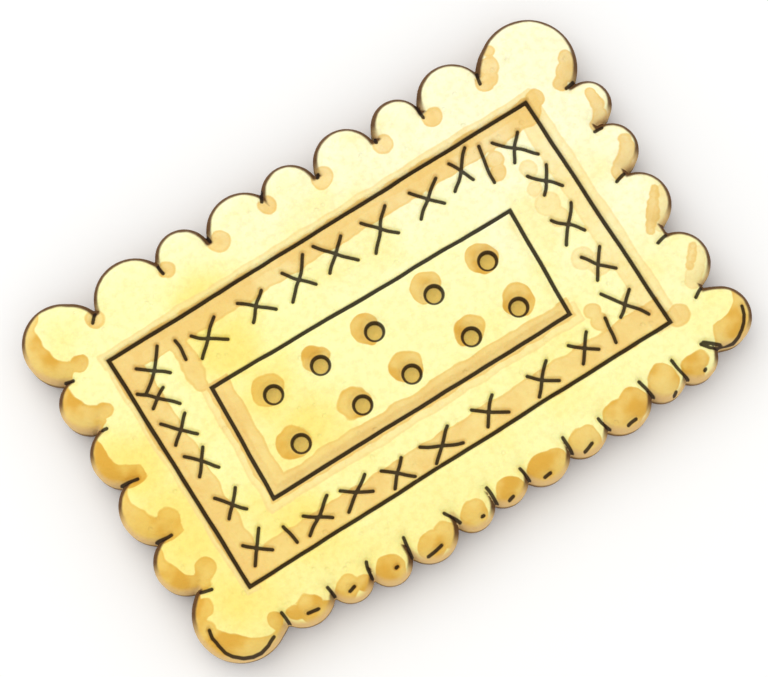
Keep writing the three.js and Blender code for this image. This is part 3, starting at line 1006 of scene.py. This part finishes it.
    def from_stroke(self, tree: Any, given: Any, plan: Any, flat: Any) -> Any:
        """Measures the distance from the nearest stroke.

        A line stands on each mark, turned to its bearing, stretched to its length and bent
        a little.

        Args:
            tree: The geometry tree.
            given: The tree's input sockets.
            plan: The socket of the plan position in millimetres.
            flat: The socket of the plan position in metres.

        Returns:
            The distance's socket, in metres.
        """
        length, bearing = (
            add_node(tree, "GeometryNodeInputNamedAttribute", NUMBER, {0: name})
            for name in ("length", "bearing"))
        marks = add_node(tree, "GeometryNodeObjectInfo", {}, {0: given["Strokes"]}, "Geometry")
        points = add_node(tree, "GeometryNodeMeshToPoints", {}, {0: marks})
        line = add_node(tree, "GeometryNodeMeshLine", {"mode": "END_POINTS"}, {
            "Count": self.stroke_points, "Start Location": (-0.5, 0, 0), "Offset": (0.5, 0, 0)})
        turn = add_node(tree, "ShaderNodeCombineXYZ", {}, {"Z": bearing})
        rotation = add_node(tree, "FunctionNodeEulerToRotation", {}, {0: turn})
        stretch = add_node(tree, "ShaderNodeCombineXYZ", {}, {"X": length, "Y": 1.0, "Z": 1.0})
        strokes = add_node(tree, "GeometryNodeInstanceOnPoints", {}, {
            "Points": points, "Instance": line, "Rotation": rotation, "Scale": stretch})
        strokes = add_node(tree, "GeometryNodeRealizeInstances", {}, {0: strokes})
        bend = add_node(tree, NOISE, SEEDED, {
            "Vector": plan, "W": given["Seed"], "Scale": 1 / self.bend_size, "Detail": 1.0}, "Color")
        bend = add_node(tree, VECTOR_MATH, SUBTRACT, {0: bend, 1: (0.5, 0.5, 0.5)})
        bend = add_node(tree, VECTOR_MATH, MULTIPLY,
                        {0: bend, 1: (self.bend * MM, self.bend * MM, 0)})
        strokes = add_node(tree, "GeometryNodeSetPosition", {},
                           {"Geometry": strokes, "Offset": bend})
        return add_node(tree, "GeometryNodeProximity", {"target_element": "EDGES"},
                        {0: strokes, 2: flat}, "Distance")

    def stroke_depth(self, tree: Any, from_stroke: Any, inset: Any, frame_in: Any) -> Any:
        """Presses the strokes, which grow shallower towards the edge outside the frame.

        Args:
            tree: The geometry tree.
            from_stroke: The socket of the distance from the nearest stroke, in metres.
            inset: The socket of the distance inside the outline.
            frame_in: The socket of the distance inside the frame.

        Returns:
            The depth's socket, in millimetres.
        """
        groove = add_node(tree, RANGE, EASE, {
            0: from_stroke, 1: self.groove_half * MM, 2: self.groove_floor * MM})
        outer_depth = add_node(tree, RANGE, EASE, {
            0: inset, 1: self.crease_start, 2: CROWN_WIDTH,
            3: self.crease_share * CREASE_DEPTH, 4: CREASE_DEPTH})
        depth = add_node(tree, RANGE, EASE, {
            0: frame_in, 1: -self.frame_blend, 2: self.frame_blend,
            3: outer_depth, 4: STROKE_DEPTH})
        return add_node(tree, MATH, MULTIPLY, {0: groove, 1: depth})

    def holes(self, tree: Any, given: Any, flat: Any) -> tuple[Any, Any]:
        """Presses the docker holes: a dimple, a nearly upright wall and a blunt tip.

        Args:
            tree: The geometry tree.
            given: The tree's input sockets.
            flat: The socket of the plan position in metres.

        Returns:
            Sockets, in millimetres: the distance from the nearest hole's middle, and the depth.
        """
        marks = add_node(tree, "GeometryNodeObjectInfo", {}, {0: given["Holes"]}, "Geometry")
        from_hole = add_node(tree, "GeometryNodeProximity", {"target_element": "POINTS"},
                             {0: marks, 2: flat}, "Distance")
        from_hole = add_node(tree, MATH, DIVIDE, {0: from_hole, 1: MM})
        dimple = add_node(tree, RANGE, EASE, {
            0: from_hole, 1: DIMPLE_RADIUS + self.dimple_lip, 2: HOLE_RADIUS_TOP, 4: DIMPLE_DEPTH})
        wall = add_node(tree, RANGE, EASE, {
            0: from_hole, 1: HOLE_RADIUS_TOP + self.pit_lip, 2: HOLE_RADIUS_FLOOR,
            4: HOLE_WALL_DEPTH - DIMPLE_DEPTH})
        tip = add_node(tree, RANGE, EASE, {
            0: from_hole, 1: HOLE_RADIUS_FLOOR, 2: 0.0, 4: HOLE_TIP_DEPTH - HOLE_WALL_DEPTH})
        pit = add_node(tree, MATH, ADD, {0: dimple, 1: wall})
        return from_hole, add_node(tree, MATH, ADD, {0: pit, 1: tip})


@dataclass(frozen=True)
class BakedDough:
    """Short biscuit dough, stamped and baked golden at its edges.

    The surface is matt with a fine open crumb, pale butter yellow and painted paler towards
    the light, tan in soft-edged patches of painted shade, and near black with painted shade in
    the thin pressed lines. A little light passes through the dough and keeps its shades warm.
    """

    pale: str = "#fffbb4"
    # palest is painted light, on the side towards the light.
    palest: str = "#fffdd2"
    rich: str = "#fbe77c"
    # faint, plain and gold are the tan of the painted shade; gold also mottles the crust and the
    # wall, and deep deepens the shade in places.
    faint: str = "#f8e09a"
    plain: str = "#efca78"
    gold: str = "#e6b548"
    # line is painted shade in the pressed grooves, creases and nicks and at the hole rims.
    line: str = "#1f0f06"
    deep: str = "#d99f2e"
    toast: str = "#563210"
    side: str = "#e3bd7c"
    base: str = "#d0a25c"
    tray: str = "#ab7a3e"
    # pit is painted light, a lighter yellow over the shade on the pits' floors.
    pit: str = "#ffd970"
    rough: float = 0.85
    # Widths of the soft areas of each noise, in millimetres.
    drift_size: float = 9.0
    cloud_size: float = 11.0
    ragged_size: float = 2.8
    depth_size: float = 3.5
    mottle_size: float = 0.7
    uneven_size: float = 1.6
    golden_size: float = 2.4
    tray_size: float = 3.2
    crumb_size: float = 0.35
    pore_size: float = 1.4
    open_size: float = 5.0
    # How far the noises move an edge, in millimetres.
    drift: float = 16.0
    cloud: float = 14.0
    ragged: float = 0.8
    uneven: float = 0.15
    # Where the ground's painted light and richer yellow come in, in millimetres towards the light
    # or of richness.
    palest_from: tuple[float, float] = (7.0, 29.0)
    richer_from: tuple[float, float] = (6.0, -16.0)
    rich_from: tuple[float, float] = (3.0, 10.0)
    # Insets, in millimetres, between which the wall's and the underside's shades come in.
    wall_edge: tuple[float, float] = (0.7, 0.1)
    golden_edge: tuple[float, float] = (-0.1, -1.2)
    shoulder_edge: tuple[float, float] = (0.68, 0.38)
    shoulder_fade: tuple[float, float] = (-2.6, 0.3)
    foot_edge: tuple[float, float] = (-0.4, -2.4)
    foot_end: tuple[float, float] = (-3.89, -3.75)
    base_edge: tuple[float, float] = (-3.5, -3.85)
    # Distances from the middles of lines, strokes and holes between which they are painted dark with
    # shade.
    line_edge: tuple[float, float] = (0.28, 0.17)
    stroke_edge: tuple[float, float] = (0.25, 0.14)
    rim_outside: tuple[float, float] = (1.2, 1.08)
    rim_inside: tuple[float, float] = (0.74, 0.86)

    def build(self) -> Any:
        """Builds the material.

        Returns:
            The material, which reads the dough's attributes and Object coordinates.
        """
        material = bpy.data.materials.new("baked_dough")
        material.use_nodes = True
        tree = material.node_tree
        tree.nodes.clear()
        place = add_node(tree, "ShaderNodeTexCoord", output="Object")
        inset = self.stored(tree, "inset")
        colour = self.ground(tree, place)
        colour = self.patches(tree, place, colour)
        colour = self.wall(tree, place, inset, colour)
        colour = self.marks(tree, inset, colour)
        shader = add_node(tree, "ShaderNodeBsdfPrincipled", {"subsurface_method": "RANDOM_WALK"}, {
            "Base Color": colour, "Roughness": self.rough, "Normal": self.crumb(tree, place),
            "Specular IOR Level": 0.25, "Subsurface Weight": 0.12,
            "Subsurface Radius": (1.0, 0.6, 0.25), "Subsurface Scale": 0.8 * MM,
        })
        add_node(tree, "ShaderNodeOutputMaterial", {}, {"Surface": shader})
        return material

    def stored(self, tree: Any, name: str) -> Any:
        """Reads one of the dough's stored distances, and gives its socket."""
        return add_node(tree, "ShaderNodeAttribute", {"attribute_name": name}, output="Fac")

    def ground(self, tree: Any, place: Any) -> Any:
        """Makes the pale ground: painted palest towards the light on the far side, with soft richer
        areas.

        Args:
            tree: The shader tree.
            place: The socket of the Object coordinates.

        Returns:
            The colour's socket.
        """
        # Painted light: the crust is palest towards the light on the far side and richer on the near
        # side, without an edge between them.
        to_lit_side = add_node(tree, VECTOR_MATH, {"operation": "DOT_PRODUCT"}, {
            0: place, 1: (LIT_WAY[0] / MM, LIT_WAY[1] / MM, 0)}, "Value")
        drift = add_node(tree, NOISE, {}, {
            "Vector": place, "Scale": 1 / (self.drift_size * MM), "Detail": 2.0})
        drift = add_node(tree, RANGE, {}, {0: drift, 4: self.drift})
        drift = add_node(tree, MATH, ADD, {0: to_lit_side, 1: drift})
        palest = add_node(tree, RANGE, EASE, {0: drift, **across(self.palest_from)})
        colour = add_node(tree, MIX, COLOUR, {
            0: palest, 6: linear(self.pale), 7: linear(self.palest)}, 2)
        richer = add_node(tree, RANGE, EASE, {0: drift, **across(self.richer_from), 4: 0.45})
        colour = add_node(tree, MIX, COLOUR, {0: richer, 6: colour, 7: linear(self.rich)}, 2)

        # Cloudy areas of the crust are a richer yellow.
        cloud = add_node(tree, NOISE, {}, {
            "Vector": place, "Scale": 1 / (self.cloud_size * MM), "Detail": 3.0})
        rich = add_node(tree, MATH, {"operation": "MULTIPLY_ADD"},
                        {0: cloud, 1: self.cloud, 2: self.stored(tree, Tone.RICH.value)})
        rich = add_node(tree, RANGE, EASE, {0: rich, **across(self.rich_from), 4: 0.9})
        cloud = add_node(tree, RANGE, EASE, {0: cloud, 1: 0.5, 2: 0.72, 4: 0.4})
        cloud = add_node(tree, MATH, LARGER, {0: cloud, 1: rich})
        return add_node(tree, MIX, COLOUR, {0: cloud, 6: colour, 7: linear(self.rich)}, 2)

    def patches(self, tree: Any, place: Any, colour: Any) -> Any:
        """Lays the tan patches over the ground, painted shade and tan about the docker holes, one
        tone over another, with ragged edges.

        Args:
            tree: The shader tree.
            place: The socket of the Object coordinates.
            colour: The ground's socket.

        Returns:
            The new colour's socket.
        """
        ragged = add_node(tree, NOISE, {}, {
            "Vector": place, "Scale": 1 / (self.ragged_size * MM), "Detail": 1.6})
        ragged = add_node(tree, RANGE, {}, {0: ragged, 3: -self.ragged, 4: self.ragged})
        depth = add_node(tree, NOISE, {}, {
            "Vector": place, "Scale": 1 / (self.depth_size * MM), "Detail": 2.0})
        deeper = add_node(tree, RANGE, EASE, {0: depth, 1: 0.46, 2: 0.66, 4: 0.65})
        depth = add_node(tree, RANGE, EASE, {0: depth, 1: 0.3, 2: 0.7, 3: 0.7, 4: 1.0})

        # Each tone has a strength, a share of gold in its thin darker border, and a share of the
        # raggedness.
        for tone, shade, strength, gold, wander in (
                (Tone.FAINT, self.faint, 0.75, 0.14, 0.45), (Tone.PLAIN, self.plain, 0.9, 0.3, 0.75),
                (Tone.GOLD, self.gold, 0.9, 0.35, 1.0)):
            inside = add_node(tree, MATH, {"operation": "MULTIPLY_ADD"},
                              {0: ragged, 1: wander, 2: self.stored(tree, tone.value)})
            amount = add_node(tree, RANGE, EASE, {0: inside, 1: -0.1, 2: 0.1, 4: strength})
            amount = add_node(tree, MATH, MULTIPLY, {0: amount, 1: depth})
            colour = add_node(tree, MIX, COLOUR, {0: amount, 6: colour, 7: linear(shade)}, 2)
            start = add_node(tree, RANGE, EASE, {0: inside, 1: -0.1, 2: 0.06, 4: gold})
            end = add_node(tree, RANGE, EASE, {0: inside, 1: 0.32, 2: 0.1})
            border = add_node(tree, MATH, MULTIPLY, {0: start, 1: end})
            colour = add_node(tree, MIX, COLOUR, {0: border, 6: colour, 7: linear(self.gold)}, 2)

        # The golden painted shade is deeper in places, and all of the crust is finely mottled.
        deeper = add_node(tree, MATH, MULTIPLY, {0: deeper, 1: amount})
        colour = add_node(tree, MIX, COLOUR, {0: deeper, 6: colour, 7: linear(self.deep)}, 2)
        mottle = add_node(tree, NOISE, {}, {
            "Vector": place, "Scale": 1 / (self.mottle_size * MM), "Detail": 4.0})
        mottle = add_node(tree, RANGE, EASE, {0: mottle, 1: 0.4, 2: 0.7, 4: 0.15})
        colour = add_node(tree, MIX, COLOUR, {0: mottle, 6: colour, 7: linear(self.gold)}, 2)

        # Painted light: the floor of a docker hole is a lighter yellow than the tan round it,
        # lifting the pit's shade.
        inside, outside = self.rim_inside
        floor = add_node(tree, RANGE, EASE, {
            0: self.stored(tree, "from_hole"), 1: outside, 2: inside})
        return add_node(tree, MIX, COLOUR, {0: floor, 6: colour, 7: linear(self.pit)}, 2)

    def wall(self, tree: Any, place: Any, inset: Any, colour: Any) -> Any:
        """Colours the wall and the underside.

        Args:
            tree: The shader tree.
            place: The socket of the Object coordinates.
            inset: The socket of the distance inside the outline, or below it on the wall.
            colour: The top's socket.

        Returns:
            The new colour's socket.
        """
        # The wall is light tan, with golden areas below its upper edge.
        uneven = add_node(tree, NOISE, {}, {
            "Vector": place, "Scale": 1 / (self.uneven_size * MM), "Detail": 3.0})
        uneven = add_node(tree, RANGE, {}, {0: uneven, 3: -self.uneven, 4: self.uneven})
        edge = add_node(tree, MATH, ADD, {0: inset, 1: uneven})
        wall = add_node(tree, RANGE, EASE, {0: edge, **across(self.wall_edge)})
        colour = add_node(tree, MIX, COLOUR, {0: wall, 6: colour, 7: linear(self.side)}, 2)
        golden = add_node(tree, NOISE, {}, {
            "Vector": place, "Scale": 1 / (self.golden_size * MM), "Detail": 4.0})
        golden = add_node(tree, RANGE, EASE, {0: golden, 1: 0.42, 2: 0.66, 4: 0.5})
        below = add_node(tree, RANGE, EASE, {0: edge, **across(self.golden_edge)})
        golden = add_node(tree, MATH, MULTIPLY, {0: golden, 1: below})
        colour = add_node(tree, MIX, COLOUR, {0: golden, 6: colour, 7: linear(self.gold)}, 2)

        # The underside baked on its tray, so it is browner, in soft patches.
        tray = add_node(tree, NOISE, {}, {
            "Vector": place, "Scale": 1 / (self.tray_size * MM), "Detail": 7.0, "Roughness": 0.7})
        tray = add_node(tree, RANGE, EASE, {0: tray, 1: 0.38, 2: 0.64})
        base = add_node(tree, MIX, COLOUR, {0: tray, 6: linear(self.base), 7: linear(self.tray)}, 2)
        under = add_node(tree, RANGE, EASE, {0: inset, **across(self.base_edge)})
        colour = add_node(tree, MIX, COLOUR, {0: under, 6: colour, 7: base}, 2)

        # The wall's shoulder is toasted, darkest on the far side, and so is its foot.
        shoulder = add_node(tree, RANGE, EASE, {0: edge, **across(self.shoulder_edge)})
        fade = add_node(tree, RANGE, EASE, {0: edge, **across(self.shoulder_fade), 3: 0.6})
        shoulder = add_node(tree, MATH, MULTIPLY, {0: shoulder, 1: fade})
        by_side = add_node(tree, RANGE, EASE, {
            0: self.stored(tree, "facing_far"), 1: -0.6, 2: 0.0, 4: 0.95})
        shoulder = add_node(tree, MATH, MULTIPLY, {0: shoulder, 1: by_side})
        foot = add_node(tree, MATH, {"operation": "MULTIPLY_ADD"}, {0: uneven, 1: 3.0, 2: edge})
        foot = add_node(tree, RANGE, EASE, {0: foot, **across(self.foot_edge), 4: 0.88})
        toasted = add_node(tree, MATH, LARGER, {0: shoulder, 1: foot})
        foot_end = add_node(tree, RANGE, EASE, {0: inset, **across(self.foot_end)})
        toasted = add_node(tree, MATH, MULTIPLY, {0: toasted, 1: foot_end})
        return add_node(tree, MIX, COLOUR, {0: toasted, 6: colour, 7: linear(self.toast)}, 2)

    def marks(self, tree: Any, inset: Any, colour: Any) -> Any:
        """Paints shade, near black, into the pressed lines, strokes and hole rims.

        Args:
            tree: The shader tree.
            inset: The socket of the distance inside the outline.
            colour: The crust's socket.

        Returns:
            The new colour's socket.
        """
        from_hole = self.stored(tree, "from_hole")
        rim_outside = add_node(tree, RANGE, EASE, {0: from_hole, **across(self.rim_outside)})
        rim_inside = add_node(tree, RANGE, EASE, {0: from_hole, **across(self.rim_inside)})
        mark = add_node(tree, MATH, MULTIPLY, {0: rim_outside, 1: rim_inside})
        for name, limits in (("from_line", self.line_edge), ("from_stroke", self.stroke_edge)):
            near = add_node(tree, RANGE, EASE, {0: self.stored(tree, name), **across(limits)})
            mark = add_node(tree, MATH, LARGER, {0: mark, 1: near})
        on_top = add_node(tree, RANGE, EASE, {0: inset, 1: -0.4, 2: 0.05, 4: 0.94})
        mark = add_node(tree, MATH, MULTIPLY, {0: mark, 1: on_top})
        return add_node(tree, MIX, COLOUR, {0: mark, 6: colour, 7: linear(self.line)}, 2)

    def crumb(self, tree: Any, place: Any) -> Any:
        """Makes the open crumb: fine grains, and small pores a little over a millimetre apart.

        Args:
            tree: The shader tree.
            place: The socket of the Object coordinates.

        Returns:
            The socket of the roughened normal.
        """
        grains = add_node(tree, NOISE, {}, {
            "Vector": place, "Scale": 1 / (self.crumb_size * MM), "Detail": 3.0})
        pores = add_node(tree, "ShaderNodeTexVoronoi", {}, {
            "Vector": place, "Scale": 1 / (self.pore_size * MM)}, "Distance")
        pores = add_node(tree, RANGE, EASE, {0: pores, 1: 0.25, 2: 0.08, 4: 0.8})
        open_areas = add_node(tree, NOISE, {}, {
            "Vector": place, "Scale": 1 / (self.open_size * MM), "Detail": 1.0})
        open_areas = add_node(tree, RANGE, EASE, {0: open_areas, 1: 0.4, 2: 0.6})
        pores = add_node(tree, MATH, MULTIPLY, {0: pores, 1: open_areas})
        height = add_node(tree, MATH, SUBTRACT, {0: grains, 1: pores})
        return add_node(tree, "ShaderNodeBump", {}, {
            "Strength": 0.7, "Distance": 0.16 * MM, "Height": height})


@dataclass
class Biscuit:
    """The whole biscuit: one piece of baked dough."""

    name: str = "stamped_dough"
    # How far the lobes reach left and near from the middle of the frame.
    reach_left: float = 33.8
    reach_near: float = 22.2

    def middle(self) -> np.ndarray:
        """Finds the middle of the stamped frame in the row frame, in metres."""
        low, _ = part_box("biscuit")
        return np.array([low[0] + self.reach_left * MM, low[1] + self.reach_near * MM, 0.0])

    def helper(self, name: str, points: np.ndarray, triangles: list,
               values: dict[str, np.ndarray]) -> Any:
        """Makes an object that the stamp reads or shapes, and that is removed after it.

        Args:
            name: The object's name.
            points: Its points in millimetres from the middle of the frame.
            triangles: Its triangles, or none for loose points.
            values: Attributes by name.

        Returns:
            The object.
        """
        mesh = bpy.data.meshes.new(name)
        mesh.from_pydata((points * MM + self.middle()).tolist(), [], triangles)
        for key, value in values.items():
            mesh.attributes.new(key, "FLOAT", "POINT").data.foreach_set("value", value)
        made = bpy.data.objects.new(name, mesh)
        bpy.context.scene.collection.objects.link(made)
        return made

    def raw_dough(self, marks: StampMarks) -> Any:
        """Makes the dough before it is stamped, with the distances that stamp and crust read.

        Args:
            marks: Where the stamp presses.

        Returns:
            The dough's helper object.
        """
        lobes = Rim().lobes()
        plan = DoughPlan(lobes)
        points, triangles, on_top = DoughMesh(plan, marks).build()
        flat = points[:, :2]
        inset, slope = plan.measure(flat)
        facing = -(slope @ np.array(LIT_WAY)) / np.maximum(np.hypot(*slope.T), TINY)
        wall = on_top == 0
        inset[wall] = points[wall, 2] - RIM_HEIGHT
        values = {
            "inset": inset, "on_top": on_top, "facing_far": facing,
            "frame_in": marks.frame_inset(flat), "panel_in": marks.panel_inset(flat),
        }
        for tone, inside in PaintedShadeAndRichness(lobes, marks).tones(flat).items():
            values[tone.value] = inside
        return self.helper("raw_" + self.name, points, triangles.tolist(), values)

    def build(self) -> Any:
        """Builds the dough, stamps it, and places it in the frame.

        Returns:
            The finished piece.
        """
        marks = StampMarks()
        raw = self.raw_dough(marks)
        strokes = marks.strokes()
        level = np.zeros(len(strokes))
        stroke_marks = self.helper(
            "stroke_marks", np.column_stack([strokes[:, :2], level]), [],
            {"length": strokes[:, 2] * MM, "bearing": strokes[:, 3]})
        hole_marks = self.helper(
            "hole_marks", np.column_stack([HOLES, np.zeros(len(HOLES))]), [], {})
        tree, sizes = Stamp().tree(BakedDough().build())
        stamp = raw.modifiers.new("stamp", "NODES")
        stamp.node_group = tree
        for item in tree.interface.items_tree:
            if item.name == "Strokes":
                stamp[item.identifier] = stroke_marks
            elif item.name == "Holes":
                stamp[item.identifier] = hole_marks
            elif item.identifier in sizes:
                stamp[item.identifier] = sizes[item.identifier]
        bpy.context.view_layer.update()
        stamped = raw.evaluated_get(bpy.context.evaluated_depsgraph_get())
        finished = bpy.data.meshes.new_from_object(stamped)
        finished.name = self.name
        finished.shade_smooth()
        piece = bpy.data.objects.new(self.name, finished)
        bpy.context.scene.collection.objects.link(piece)
        for helper in (raw, stroke_marks, hole_marks):
            bpy.data.objects.remove(helper)
        LOG.info("%s: %d triangles", self.name, len(finished.polygons))
        return piece


@dataclass(frozen=True)
class Studio:
    """A plain pale floor, soft light from the far side, and the camera."""

    floor_colour: str = "#fbfbfa"
    floor_size: float = 4.0
    floor_gap: float = 0.02
    floor_rough: float = 0.9
    fill: float = 0.88
    key_power: float = 1.15
    key_size: float = 0.6
    key_distance: float = 0.6
    key_bearing: float = 98.0
    key_height: float = 58.0
    key_colour: tuple[float, float, float] = (1.0, 0.985, 0.96)
    target: tuple[float, float, float] = (-0.376, 0.522, 6.0)
    azimuth: float = -32.329
    elevation: float = 81.0
    distance: float = 302.0
    lens: float = 135.0
    sensor: float = 36.0
    clip_start: float = 0.01

    def floor(self) -> Any:
        """Lays the floor under the biscuit.

        Returns:
            The floor's object.
        """
        half = self.floor_size / 2
        mesh = bpy.data.meshes.new("floor")
        top = -self.floor_gap * MM
        mesh.from_pydata([(-half, -half, top), (half, -half, top), (half, half, top),
                          (-half, half, top)], [], [(0, 1, 2, 3)])
        material = bpy.data.materials.new("white_board")
        material.use_nodes = True
        shader = material.node_tree.nodes["Principled BSDF"]
        shader.inputs["Base Color"].default_value = linear(self.floor_colour)
        shader.inputs["Roughness"].default_value = self.floor_rough
        mesh.materials.append(material)
        floor = bpy.data.objects.new("floor", mesh)
        bpy.context.scene.collection.objects.link(floor)
        return floor

    def lights(self) -> None:
        """Sets a white sky for fill and one large soft lamp."""
        world = bpy.data.worlds.new("studio")
        world.use_nodes = True
        sky = world.node_tree.nodes["Background"]
        sky.inputs["Color"].default_value = (1, 1, 1, 1)
        sky.inputs["Strength"].default_value = self.fill
        bpy.context.scene.world = world
        lamp = bpy.data.lights.new("softbox", "AREA")
        lamp.energy = self.key_power
        lamp.size = self.key_size
        lamp.color = self.key_colour
        softbox = bpy.data.objects.new("softbox", lamp)
        bearing, height = math.radians(self.key_bearing), math.radians(self.key_height)
        way = Vector((math.cos(bearing) * math.cos(height), math.sin(bearing) * math.cos(height),
                      math.sin(height)))
        softbox.location = way * self.key_distance
        softbox.rotation_euler = way.to_track_quat("Z", "Y").to_euler()
        bpy.context.scene.collection.objects.link(softbox)

    def camera(self, middle: np.ndarray) -> None:
        """Sets the camera at the picture's viewing angle.

        Args:
            middle: The middle of the stamped frame, in metres.
        """
        azimuth, elevation = math.radians(self.azimuth), math.radians(self.elevation)
        back = Vector((math.sin(azimuth) * math.cos(elevation),
                       -math.cos(azimuth) * math.cos(elevation), math.sin(elevation)))
        lens = bpy.data.cameras.new("camera")
        lens.lens = self.lens
        lens.sensor_width = self.sensor
        lens.clip_start = self.clip_start
        camera = bpy.data.objects.new("camera", lens)
        camera.location = Vector(middle) + Vector(self.target) * MM + back * self.distance * MM
        camera.rotation_euler = back.to_track_quat("Z", "Y").to_euler()
        bpy.context.scene.collection.objects.link(camera)
        bpy.context.scene.camera = camera

    def colours(self) -> None:
        """Shows colours as they are, so that a white floor stays white."""
        view = bpy.context.scene.view_settings
        view.view_transform = "Standard"
        view.look = "None"


def main() -> None:
    """Builds the biscuit and the studio."""
    logging.basicConfig(level=logging.INFO, format="%(name)s: %(message)s")
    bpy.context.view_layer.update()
    biscuit = Biscuit()
    piece = biscuit.build()
    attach(piece, "root")
    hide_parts("biscuit")
    studio = Studio()
    floor = studio.floor()
    studio.lights()
    studio.colours()
    studio.camera(biscuit.middle())
    LOG.info("studio: floor, softbox, sky and camera")


if __name__ == "__main__":
    main()
